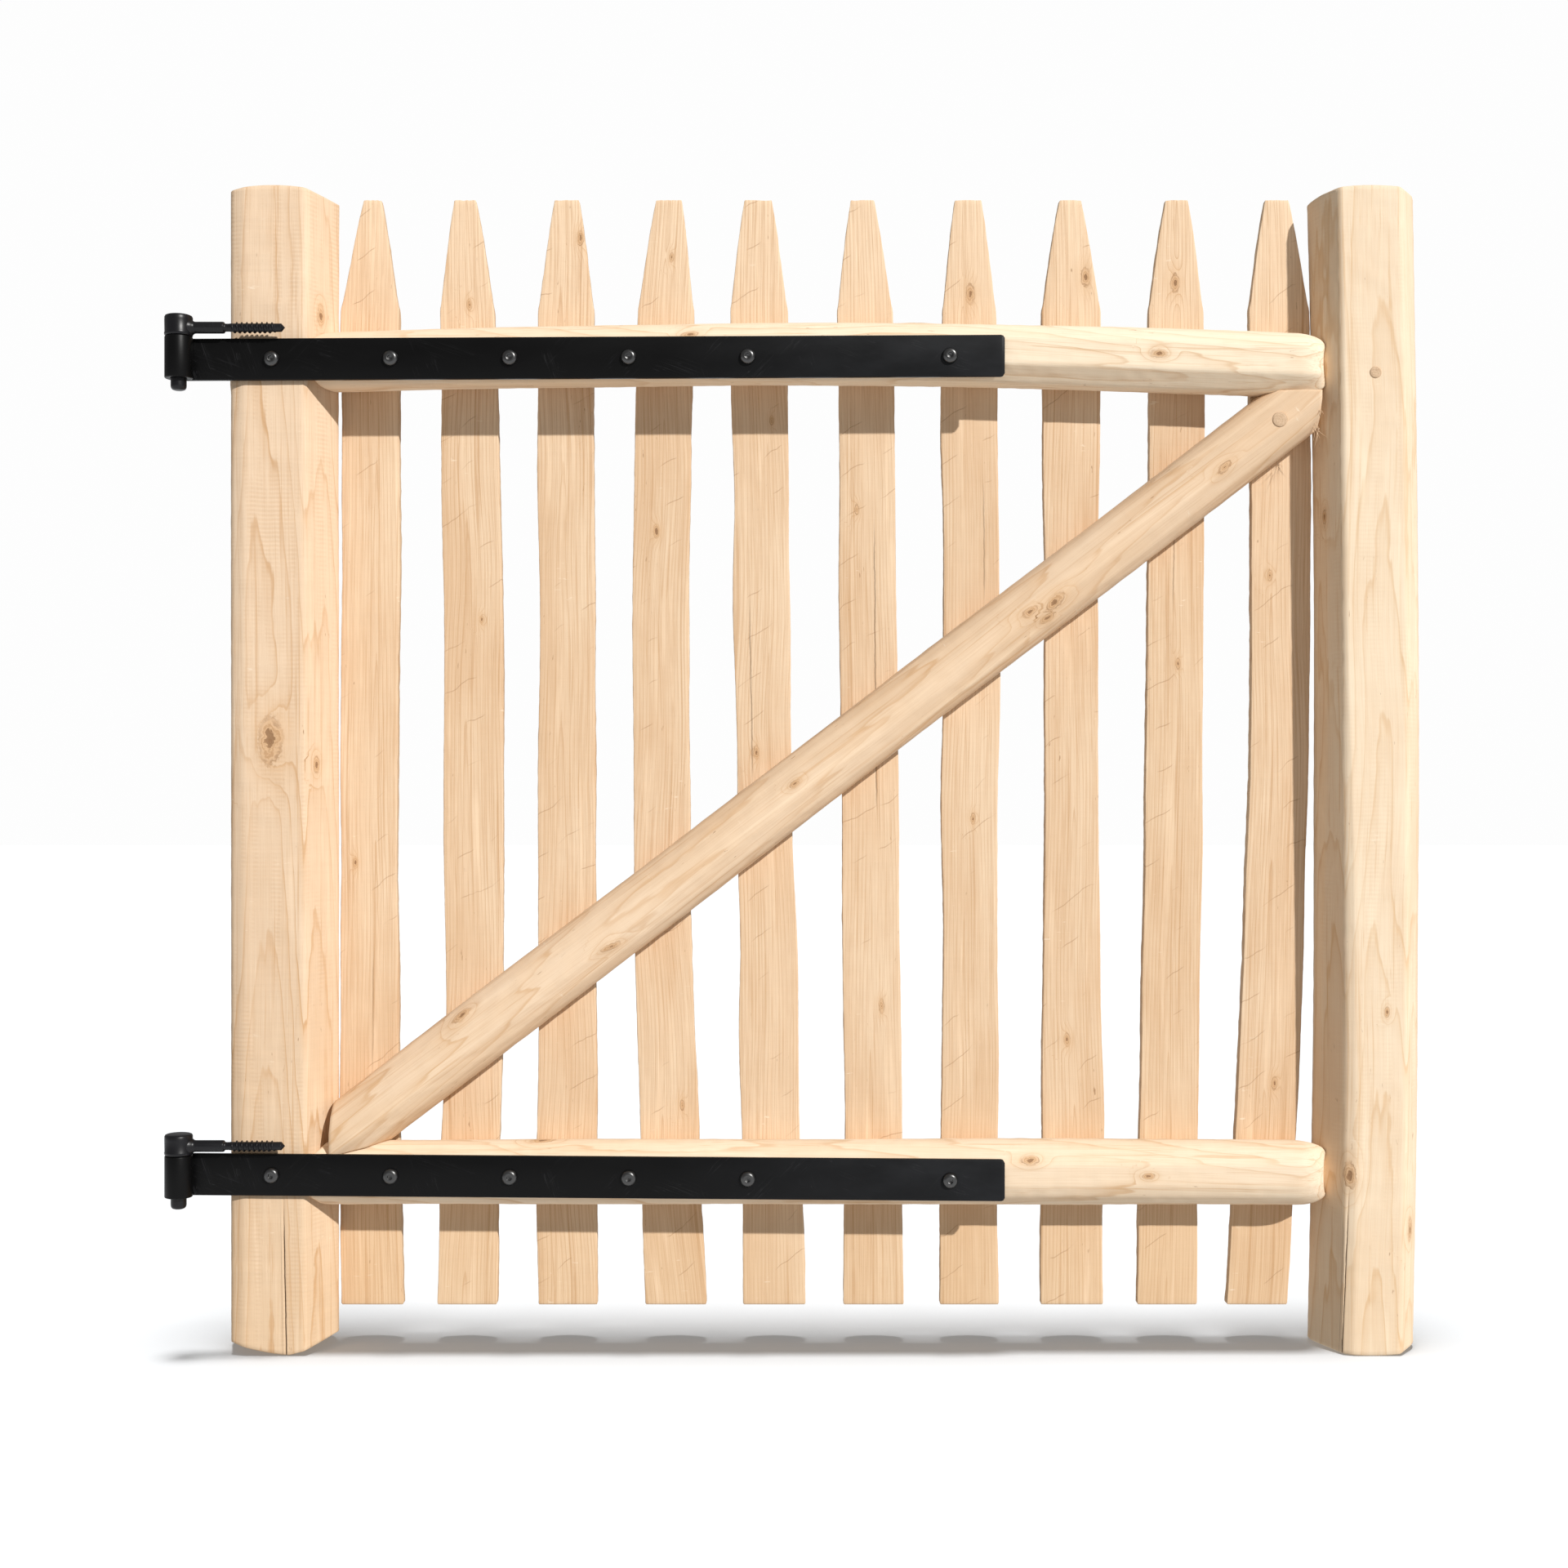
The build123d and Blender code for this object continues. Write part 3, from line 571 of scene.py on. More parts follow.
def pole(name, slot, seed, origin, along, side, length, radii, planes, knots=(), cracks=(),
         bow=0.0, bow_axis=(0, 0, 1), starts=None, ends=None, columns=96, edge=1.2, facets=13,
         tenons=None, pith=(0.004, -0.003), shoulder=(0.0, 0.0), corners=(), dome=0.0, sway=None,
         tones=(0.0, 0.0)):
    """A round pole with hand-planed flats, knots and cracks.

    Angles are in degrees round the pole from its side direction, places in metres along it. All
    sizes in the lists are in millimetres: radii are evenly spaced along the pole, as are the
    distances of planes, which are (angle, *distances). corners are (angle, extra radius), where the
    wood stands fuller than round. knots are (angle, place, size). cracks are (angle, start, end,
    width, drift). starts and ends give the place along the axis where each side line begins and
    ends, so that the pole can be coped over another. shoulder rounds the two ends over that length,
    edge eases them, and dome is how far the sawn ends fall away at both sides. tones bleach the
    wood above 0 and brown it below."""
    rng = np.random.default_rng(seed)
    origin, along, side = (np.array(v, dtype=float) for v in (origin, along, side))
    up = np.cross(along, side)
    edge = edge * MM
    dome = dome * MM
    mid_r = between(*radii)(0.5) * MM
    cracks = [(math.radians(angle), low, high, width * MM, drift * MM)
              for angle, low, high, width, drift in cracks]
    steps = int(length / RING_STEP)
    t = np.concatenate(([0.0], np.linspace(edge / length, 1 - edge / length, steps), [1.0]))
    # side lines crowd together at the cracks and drift along with them
    base = np.linspace(0, TAU, columns, endpoint=False)
    crowded = []
    for middle, _, _, width, _ in cracks:
        crowded += [middle + k * width / mid_r for k in (-3.2, -1.1, -0.5, 0.0, 0.5, 1.1, 3.2)]
        base = base[np.abs(off_by(base, middle)) > 3.6 * width / mid_r]
    base = np.sort(np.concatenate((base, np.array(crowded) % TAU)))
    angle_grid, t_grid = np.meshgrid(base, t)
    distance = t_grid * length
    for middle, low, high, width, drift in cracks:
        lean = drift * np.clip((distance - low) / (high - low), 0, 1)
        near = np.exp(-(off_by(angle_grid, middle) / 0.25) ** 2)
        angle_grid = angle_grid + lean / mid_r * near

    round_r = between(*radii)(t_grid) * MM
    r = round_r * (1 + 0.012 * np.cos(2 * angle_grid + rng.uniform(0, TAU)))
    r = r + ripple(rng, 0.5 * MM, 3, 4)(angle_grid, t_grid)
    turn = rng.uniform(0, TAU)
    for i in range(facets):
        angle = turn + TAU * (i + rng.uniform(-0.3, 0.3)) / facets + wander(rng, 0.05)(t_grid)
        reach = round_r * (0.978 + 0.012 * rng.random()) + wander(rng, 0.35 * MM)(t_grid)
        facing = np.cos(angle_grid - angle)
        r = soft_min(r, np.where(facing > 0.3, reach / np.maximum(facing, 0.3), 1.0), 0.8 * MM)
    for degrees, fuller in corners:
        r = r + fuller * MM * np.exp(-(off_by(angle_grid, math.radians(degrees)) / 0.35) ** 2)
    for degrees, *reaches in planes:
        facing = np.cos(angle_grid - math.radians(degrees))
        reach = between(*reaches)(t_grid) * MM + wander(rng, 0.10 * MM)(t_grid)
        r = soft_min(r, np.where(facing > 0.2, reach / np.maximum(facing, 0.2), 1.0), 0.30 * MM)
    r = r + ripple(rng, 0.099 * MM, 9, 60, 40)(angle_grid, t_grid)

    # each knot stands out as a low swelling with a dip in its middle
    places = []
    for degrees, place, size in knots:
        size = size * MM
        x = off_by(angle_grid, math.radians(degrees)) * r / size
        y = (distance - place) / (size * 1.3)
        places.append((x, y))
        d = np.hypot(x, y)
        r = r + 0.16 * size * np.exp(-(d / 1.15) ** 2) - 0.12 * size * np.exp(-(d / 0.6) ** 2)
    knot_field = knot_marks(r.shape, places, 5, 2)

    crack_field = np.full(r.shape + (3,), (9.0, 0.0, 0.0))
    crack_field[..., 1] = between(*tones)(t_grid)
    for middle, low, high, width, drift in cracks:
        lean = drift * np.clip((distance - low) / (high - low), 0, 1) / mid_r
        x = off_by(angle_grid, middle + lean) * r / width
        open_at = smooth(low - 4 * MM, low + 10 * MM, distance)
        open_at = open_at * (1 - smooth(high - 60 * MM, high, distance))
        r = r - 2.6 * width * open_at * np.clip(1 - np.abs(x) * 1.6, 0, 1)
        close = np.abs(x) < 6
        crack_field[..., 0] = np.where(close, x / np.maximum(open_at, 0.05), crack_field[..., 0])
        crack_field[..., 2] = np.where(close, open_at, crack_field[..., 2])

    a = r * np.cos(angle_grid)
    b = r * np.sin(angle_grid)
    start = starts(a[0], b[0]) if starts else np.zeros(len(base))
    stop = ends(a[-1], b[-1]) if ends else np.full(len(base), length)
    place = start + (stop - start) * t_grid
    from_start, from_stop = place - start, stop - place
    from_ends = np.minimum(from_start, from_stop)
    worn = edge * (1 - np.sqrt(np.clip(1 - (1 - np.clip(from_ends / edge, 0, 1)) ** 2, 0, 1)))
    for amount, near in zip(shoulder, (from_start, from_stop)):
        if amount:
            x = 1 - np.clip(near / (amount * MM), 0, 1)
            worn = worn + 0.45 * amount * MM * (1 - np.sqrt(1 - 0.96 * x ** 2))
    a = a * (1 - worn / r)
    b = b * (1 - worn / r)
    if dome:
        fall = dome * (a / mid_r) ** 2 * np.clip(1 - from_ends / (8 * edge), 0, 1)
        place = place + fall * np.where(t_grid < 0.5, 1, -1)
    bend = 4 * bow * (place / length) * (1 - place / length)
    if sway:
        bend = bend + sway(place / length)
    rings = (origin + a[..., None] * side + b[..., None] * up + place[..., None] * along
             + bend[..., None] * np.array(bow_axis))

    shift = rng.uniform(1, 9)
    pith_x = pith[0] + wander(rng, 2.5 * MM)(t_grid)
    pith_y = pith[1] + wander(rng, 2.5 * MM)(t_grid)
    grain = np.stack((a + pith_x, b + pith_y, place + shift), axis=-1)
    if tenons:
        rings, (grain, knot_field, crack_field) = add_tenons(
            rings, (grain, knot_field, crack_field), origin, along, side, up, tenons)
    crown = dome * (a[-1] / mid_r) ** 2
    points, faces, on_end = tube(rings, crown=crown[:, None] * along)
    heart = np.array((*pith, 0))
    attributes = {
        "grain": over_caps(grain, lambda edge, k: edge * np.array((k, k, 1)) + heart * (1 - k)),
        "knot": over_caps(knot_field, lambda edge, k: edge),
        "crack": over_caps(crack_field, lambda edge, k: edge)}
    obj = new_mesh(name, points, faces, on_end, attributes)
    finish_piece(obj, "gate_leaf", woods[slot], [name])


def add_tenons(rings, fields, origin, along, side, up, tenons):
    """Round tenons carry on from both ends of a rail into the posts."""
    for at_start, reach in zip((True, False), tenons):
        edge_ring = rings[0] if at_start else rings[-1]
        away = edge_ring - origin
        a = away @ side
        b = away @ up
        size = np.hypot(a, b)
        # at the latch post the tenon stands further back, where the rail's nose hides it
        neck = origin + (0 if at_start else TENON_BACK) * side
        neck = neck + (a / size * TENON_R)[:, None] * side + (b / size * TENON_R)[:, None] * up
        neck_ring = neck + (away @ along)[:, None] * along
        tip_ring = neck + reach * along
        if at_start:
            rings = np.concatenate((np.array((tip_ring, neck_ring)), rings))
            fields = [np.concatenate((f[:1], f[:1], f)) for f in fields]
        else:
            rings = np.concatenate((rings, np.array((neck_ring, tip_ring))))
            fields = [np.concatenate((f, f[-1:], f[-1:])) for f in fields]
    return rings, fields


FRONT_REACH = -FRONT / MM  # from a post's axis to its planed front, in mm
RIDGE = 14 * MM  # from the hinge post's axis to its foot's ridge


def hinge_foot(a, b):
    """The hinge post's foot is sawn to a low ridge: how high it starts at each side line."""
    off_ridge = a - RIDGE
    return np.where(off_ridge < 0, -0.14, 0.13) * off_ridge


pole("hinge_post", "hinge_post_wood", 3, (0, 0, 0), (0, 0, 1), (1, 0, 0), HEIGHT,
     (44.6, 44.2, 45.0, 44.2, 45.4),
     planes=[(270, FRONT_REACH), (251, 44.9), (180, 44.0, 45.2), (195.5, 43.6, 44.0),
             (330, 43.4, 43.0, 43.6)],
     corners=[(242, 4), (219, 8), (307, 5), (354, 3)],
     knots=[(268, 0.517, 11), (328, 0.880, 4.5), (322, 0.497, 4), (150, 0.31, 9), (60, 0.70, 10),
            (200, 0.83, 7), (95, 0.22, 8)],
     cracks=[(287, -0.01, 0.150, 0.55, -3)], tones=(-0.9, -0.2, 0.5, 0.7, 0.7),
     starts=hinge_foot, pith=(0.006, 0.004), columns=104, dome=6.0)
pole("latch_post", "latch_post_wood", 8, (LATCH_X, 0, 0), (0, 0, 1), (1, 0, 0), HEIGHT,
     (44.0, 43.6, 43.6, 43.6, 43.8),
     planes=[(270, FRONT_REACH), (FACET_TURN, *LATCH_FACET), (250, 42.0, 43.2, 46, 48),
             (180, 43.6, 43.2), (322, 43.2)],
     corners=[(236, 7), (305, 3)],
     knots=[(240, 0.152, 6), (318, 0.105, 5), (20, 0.45, 8), (120, 0.62, 9), (75, 0.33, 7),
            (205, 0.71, 3.5), (281, 0.29, 2.5)],
     cracks=[(235, -0.01, 0.150, 0.5, 3.5)], tones=(-0.5, 0.0, 0.3, 0.3, 0.1),
     bow=LATCH_BOW, bow_axis=(1, 0, 0), pith=(-0.003, 0.006), columns=104, dome=4.5)


def hinge_side(y):
    """Where a line along X leaves the round hinge post."""
    return np.sqrt(np.maximum(HINGE_R ** 2 - y ** 2, (0.3 * HINGE_R) ** 2))


def latch_side(y, z):
    """Where a line along X meets the latch post: its side, or the long facet at its front left."""
    t = z / HEIGHT
    axis = LATCH_X + 4 * LATCH_BOW * t * (1 - t)
    facet = between(*LATCH_FACET)(t) * MM
    turn = math.radians(FACET_TURN)
    return np.maximum(axis - LATCH_SIDE, axis + (facet - y * math.sin(turn)) / math.cos(turn))


def rail(name, seed, low, high, radii, bow, planes, knots, tones, sway=None):
    """A round rail, coped to the hinge post and ending in a rounded nose at the latch post."""
    half = (high[2] - low[2] - bow) / 2
    axis_y = FRONT + half - RAIL_FLAT
    axis_z = high[2] - bow - half

    def latch_ends(a, b):
        y = axis_y + a
        nose = LATCH_X - NOSE + NOSE_SLOPE * (y - FRONT)
        return np.minimum(latch_side(y, axis_z) - RAIL_GAP, nose)

    pole(name, "rail_wood", seed, (0, axis_y, axis_z), (1, 0, 0), (0, 1, 0), LATCH_X, radii,
         planes=[(180, (half - RAIL_FLAT) / MM), (0, (BACK - axis_y) / MM)] + planes,
         knots=knots, bow=bow, sway=sway, tones=tones,
         starts=lambda a, b: hinge_side(axis_y + a) + RAIL_GAP, ends=latch_ends,
         tenons=(-TENON_END, LATCH_X + TENON_END),
         columns=72, facets=10, edge=0.8, shoulder=(4, 24), pith=(0.003, 0.004))


rail("top_rail", 21, top_low, top_high, (25.4, 25.8, 26.8, 27.0, 27.2), TOP_BOW,
     planes=[(222, 24.0, 24.8), (140, 25.0, 25.2)],
     knots=[(178, 0.775, 4), (150, 0.35, 4), (350, 0.22, 6), (95, 0.55, 6), (20, 0.66, 5)],
     tones=(0.3, 0.8, 1.5, 1.8), sway=lambda t: -1 * MM - 3.5 * MM * smooth(0.55, 1.0, t))
rail("bottom_rail", 34, bottom_low, bottom_high, (27.6, 27.8, 28.0, 28.4, 27.8), BOTTOM_BOW,
     planes=[(203, 26.8, 26.6), (228, 27.2), (146, 27.2, 27.0)],
     knots=[(150, 0.658, 4.5), (178, 0.766, 3), (20, 0.40, 7), (100, 0.2, 6)],
     tones=(0.6, 0.4, 0.7))


# ---- brace
BRACE_R = 27.5 * MM
BRACE_Y = FRONT + 0.5 * MM + BRACE_R
BOTTOM_R = 28 * MM
TOP_R = 26 * MM
bottom_axis_z = bottom_high[2] - BOTTOM_BOW - BOTTOM_R
top_axis_z = top_high[2] - TOP_BOW - TOP_R
brace_start = np.array((HINGE_R, BRACE_Y, bottom_axis_z + BOTTOM_R - 3 * MM))
brace_stop = np.array((LATCH_X - LATCH_R, BRACE_Y, top_axis_z - TOP_R))
brace_line = brace_stop - brace_start
brace_length = float(np.linalg.norm(brace_line))
brace_dir = brace_line / brace_length
brace_up = np.cross(brace_dir, (0.0, 1.0, 0.0))


def cope(a, b, rail_y, rail_z, rail_r, bow, leaving):
    """How far along the brace each side line leaves (or meets) a rail's round surface."""
    place = np.zeros(len(a))
    for _ in range(8):
        x = brace_start[0] + b * brace_up[0] + place * brace_dir[0]
        axis_z = rail_z + 4 * bow * (x / LATCH_X) * (1 - x / LATCH_X)
        inside = np.sqrt(np.maximum(rail_r ** 2 - (BRACE_Y + a - rail_y) ** 2, 1e-12))
        target = axis_z + inside if leaving else axis_z - np.maximum(inside, 0.9 * rail_r)
        place = (target - brace_start[2] - b * brace_up[2]) / brace_dir[2]
    return place


def brace_starts(a, b):
    upright = (brace_low[0] - brace_start[0] - b * brace_up[0]) / brace_dir[0]
    saddle = cope(a, b, FRONT + BOTTOM_R - RAIL_FLAT, bottom_axis_z, BOTTOM_R, BOTTOM_BOW, True)
    return np.maximum(upright, saddle)


def brace_ends(a, b):
    upright = (brace_high[0] + 4 * MM - brace_start[0] - b * brace_up[0]) / brace_dir[0]
    saddle = cope(a, b, FRONT + TOP_R - RAIL_FLAT, top_axis_z - 4 * MM, TOP_R, TOP_BOW, False)
    return np.minimum(upright, saddle)


pole("diagonal_brace", "brace_wood", 55, brace_start, brace_dir, (0, 1, 0), brace_length,
     (27.8, 27.6, 27.2, 26.8),
     planes=[(180, 25.4), (0, (BACK - BRACE_Y) / MM), (211, 26.0, 25.4), (236, 26.8, 26.2),
             (151, 26.0, 25.4), (128, 26.8, 26.2)],
     knots=[(196, 0.77, 5.5), (182, 0.745, 4), (213, 0.757, 4), (204, 0.292, 4), (132, 0.145, 5),
            (170, 0.50, 3), (188, 0.95, 4), (40, 0.4, 7)],
     tones=(0.0, 0.15, 0.0), starts=brace_starts, ends=brace_ends,
     columns=84, facets=10, edge=0.5, pith=(0.003, -0.004))


def splinters():
    """Torn fibres that hang from the brace's sawn upper end."""
    rng = np.random.default_rng(77)
    corner = np.array((brace_high[0] + 2 * MM, 0.0, top_axis_z - TOP_R - 24 * MM))
    parts = []
    for _ in range(16):
        foot = corner + np.array((rng.uniform(-4, 1) * MM, FRONT + rng.uniform(3, 16) * MM,
                                  rng.uniform(-12, 12) * MM))
        lean = np.array((rng.uniform(-0.5, 0.9), rng.uniform(-1.0, 0.2), rng.uniform(-1.4, -0.2)))
        curl = rng.normal(size=3) * 0.6
        reach = rng.uniform(4, 10) * MM
        rings = []
        for step in np.linspace(0, 1, 7):
            centre = foot + reach * (lean * step + curl * step ** 2 * 0.6)
            size = rng.uniform(0.30, 0.38) * MM * (1 - 0.9 * step)
            rings.append([centre + size * np.array((math.cos(v), math.sin(v), 0.4 * math.sin(v)))
                          for v in np.linspace(0, TAU, 5)[:-1]])
        parts.append(stack(rings))
    points, faces = merge(parts)
    attributes = {"grain": points, "knot": np.full(points.shape, (9.0, 9.0, 0.0)),
                  "crack": np.full(points.shape, (9.0, 0.8, 0.0))}
    obj = new_mesh("brace_splinters", points, faces, attributes=attributes)
    finish_piece(obj, "gate_leaf", woods["brace_wood"][:1])


# ---- pickets
PICKETS = 10
PICKET_W = 48 * MM
PICKET_T = 20 * MM
EDGE_T = 9 * MM
POINT = 98 * MM
# how far each pale's foot, middle and tip are off the even pitch, in mm
PICKET_FEET = (3.0, -2.0, -2.0, 4.5, 2.0, 0.5, -4.0, -3.0, -7.0, -16.0)
PICKET_MIDDLES = (0.0, 3.5, -3.5, -8.5, -6.5, -2.0, -2.0, -1.0, -0.5, 3.0)
PICKET_TIPS = (3.0, -4.5, -3.0, -2.0, -12.0, -9.0, -5.0, -4.5, 2.0, 1.0)
TIP_WIDTHS = (15, 18.5, 21, 22, 23.5, 20, 23, 18.5, 19, 20)
PICKET_TONES = (0.0, 0.1, 0.15, 0.1, 0.3, 0.2, 0.0, 0.1, -0.15, 0.2)  # bleached above 0
# brown splits along the grain: place across (-1 to 1), from and to along the pale, depth of colour
PICKET_SPLITS = {1: (0.1, 0.20, 0.34, 0.30), 5: (-0.45, 0.47, 0.65, 0.55),
                 6: (0.22, 0.44, 0.72, 0.6), 7: (0.47, 0.63, 0.76, 0.45),
                 9: (-0.1, 0.62, 0.75, 0.45)}
SPLIT_W = 0.85 * MM
PICKET_EXTRA = {10: 1.9 * MM}  # this pale is sawn wider above its foot
# knots: place across (-1 to 1), place along the pale, size in mm
PICKET_KNOTS = {
    1: [(0.2, 0.86, 2.5), (-0.5, 0.40, 2.5)],
    2: [(0.1, 0.905, 2.5), (-0.9, 0.945, 4), (0.3, 0.62, 2)],
    3: [(0.5, 0.965, 3.5), (0.1, 0.33, 2.5)],
    4: [(0.15, 0.948, 2.2), (-0.2, 0.70, 3), (0.5, 0.18, 2.5)],
    5: [(-0.3, 0.50, 3), (0.4, 0.80, 2.2)],
    6: [(0.35, 0.27, 3), (-0.4, 0.72, 2.4)],
    7: [(0.05, 0.915, 4.5), (0.1, 0.44, 2.5)],
    8: [(0.5, 0.93, 4.5), (-0.2, 0.24, 3)],
    9: [(-0.05, 0.925, 4.5), (0.1, 0.58, 2.5), (-0.4, 0.12, 3)],
    10: [(-0.4, 0.66, 2.5), (0.2, 0.20, 3)],
}


def shrunk_to_mean(edge, k):
    middle = edge.mean(axis=0)
    return middle + (edge - middle) * k


def picket(number):
    name = f"picket_{number:02d}"
    low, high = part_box(name)
    rng = np.random.default_rng(100 + number)
    first = HINGE_R + 2.5 * MM + PICKET_W / 2
    last = LATCH_X - LATCH_R - 2.5 * MM - PICKET_W / 2
    even = first + (last - first) * (number - 1) / (PICKETS - 1)
    foot, middle, tip = (min(max(even + offsets[number - 1] * MM, first), last + 3 * MM)
                         for offsets in (PICKET_FEET, PICKET_MIDDLES, PICKET_TIPS))
    bow = middle - (foot + tip) / 2
    length = high[2] - low[2]

    steps = int(length / (3.4 * MM))
    t = np.concatenate(([0.0], np.linspace(0.0012, 0.9988, steps), [1.0]))
    centre = foot + (tip - foot) * t + 4 * bow * t * (1 - t) + wander(rng, 0.5 * MM)(t * 1.7)
    # half widths: a little wider at the foot, slim in the middle, then the long cut point
    half = 24.0 * MM + 2.0 * MM * (1 - t) ** 3 + rng.uniform(-0.5, 0.5) * MM
    half = half + PICKET_EXTRA.get(number, 0.0) * smooth(0.0, 0.3, t)
    left = half + wander(rng, 0.7 * MM)(t * 2)
    right = half + wander(rng, 0.7 * MM)(t * 2)
    tip_half = TIP_WIDTHS[number - 1] * MM / 2
    into_point = np.clip((t * length - (length - POINT)) / POINT, 0, 1)
    belly = 1 + 0.10 * np.sin(math.pi * into_point)
    shoulder = smooth(0, 0.10, into_point) * into_point
    left = left + (tip_half - left) * shoulder / belly
    right = right + (tip_half - right) * shoulder / belly

    # one closed outline: flat front, eased edges, rounded back
    front = [(x, -0.15 * MM * (1 - x * x)) for x in np.linspace(-1, 1, 17)[1:-1] * 0.93]
    side = [(0.97, 0.0), (0.992, 0.12 * MM), (1.0, 0.55 * MM), (1.0, EDGE_T * 0.6), (1.0, EDGE_T)]
    arc = np.linspace(0.0, math.pi, 17)[1:-1]
    back = [(math.cos(v) * 0.985, EDGE_T + (PICKET_T - EDGE_T) * math.sin(v) ** 0.9) for v in arc]
    outline = np.array(front + side + back + [(-x, y) for x, y in side[::-1]])
    across, depth = outline[:, 0], outline[:, 1]
    angle = np.linspace(0, TAU, len(outline), endpoint=False)
    angle_grid, t_grid = np.meshgrid(angle, t)
    rough = ripple(rng, 0.16 * MM, 7, 45, 34)(angle_grid, t_grid)
    fine = ripple(rng, 0.10 * MM, 14, 130, 30)(angle_grid, t_grid)
    x = np.where(across < 0, left[:, None], right[:, None]) * across
    y = depth * (1 - 0.30 * into_point[:, None] * (depth > EDGE_T * 0.5))
    faces_back = np.where(depth > EDGE_T * 0.8, 1.0, 0.0)
    y = y + (rough + fine) * (2.2 * faces_back + 0.35 * (1 - faces_back))
    x = x + (rough + fine) * 0.7 * (np.abs(across) > 0.9) * np.sign(across)
    ends = np.minimum(t, 1 - t) * length
    worn = 0.3 * MM * np.clip(1 - ends / (0.8 * MM), 0, 1)
    x = x * (1 - worn / (12 * MM))[:, None]
    y = y + (worn[:, None] * (1 - 2 * faces_back))
    z = t * length + low[2]
    chip = ripple(rng, 0.35 * MM, 5, 1, 12)(angle, 0)
    z_grid = np.repeat(z[:, None], len(outline), axis=1)
    z_grid[-1] -= np.abs(chip)
    rings = np.stack((centre[:, None] + x, BACK + y, z_grid), axis=-1)

    points, faces, on_end = tube(rings)
    shift = rng.uniform(1, 9)
    pith_x = rng.uniform(-6, 6) * MM
    pith_y = rng.uniform(-7, 3) * MM
    local_x = x + pith_x + wander(rng, 2.5 * MM)(t * 1.5)[:, None]
    grain = np.stack((local_x, y + pith_y, z_grid + shift), axis=-1)
    places = [((x - across_at * PICKET_W / 2) / (size * MM),
               (t_grid - t_at) * length / (size * MM * 1.35))
              for across_at, t_at, size in PICKET_KNOTS[number]]
    crack_field = np.full(grain.shape, (9.0, 0.0, 0.0))
    if number in PICKET_SPLITS:
        across_at, split_low, split_high, level = PICKET_SPLITS[number]
        inside = smooth(split_low, split_low + 0.03, t_grid)
        inside = inside * (1 - smooth(split_high - 0.05, split_high, t_grid))
        crack_field[..., 0] = (x - across_at * PICKET_W / 2) / SPLIT_W
        crack_field[..., 2] = level * inside * (1 - faces_back)
    # bleached towards the tip, browned at the foot
    weathered = 1.3 * smooth(0.72, 1.0, t_grid) - 0.9 * smooth(0.25, 0.0, t_grid)
    crack_field[..., 1] = PICKET_TONES[number - 1] + weathered
    fields = (("grain", grain), ("knot", knot_marks(x.shape, places, 6, 3)), ("crack", crack_field))
    attributes = {key: over_caps(field, shrunk_to_mean) for key, field in fields}
    obj = new_mesh(name, points, facing_out(points, faces), on_end, attributes)
    finish_piece(obj, "gate_leaf", woods["picket_wood"], [name])


for number in range(1, PICKETS + 1):
    picket(number)
splinters()


# ---- turned pieces
def lathe(profile, segments, place, side, along):
    """Points and faces of a turned shape: profile holds (distance along, radius) pairs in mm."""
    along = np.array(along, dtype=float)
    side = np.array(side, dtype=float)
    up = np.cross(along, side)
    angles = np.linspace(0, TAU, segments, endpoint=False)
    rings = []
    for distance, radius in profile:
        circle = np.cos(angles)[:, None] * side + np.sin(angles)[:, None] * up
        rings.append(np.array(place) + distance * MM * along + radius * MM * circle)
    return stack(rings)


def bevelled(obj, width, angle):
    modifier = obj.modifiers.new("edges", "BEVEL")
    modifier.width = width
    modifier.segments = 2
    modifier.limit_method = "ANGLE"
    modifier.angle_limit = math.radians(angle)


def own_grain(points, shift):
    return {"grain": points + np.array((0, 0, shift))}


# ---- straps with rolled eyes
STRAP_T = 5 * MM
STRAP_W = 35 * MM
EYE_R = 9.05 * MM  # to the middle of the rolled thickness
STRAP_HOLES = (76, 176, 276, 376, 476, 646)  # from the eye's axis, in millimetres
STRAP_TIP = 3 * MM  # the tip's corners are rounded over this length
STRAP_RISES = {"upper": 3.4 * MM, "lower": -5.2 * MM}  # from the eye to the tip
joints = {j["child"]: j for j in frame["record"]["behaviour"]["joints"]}


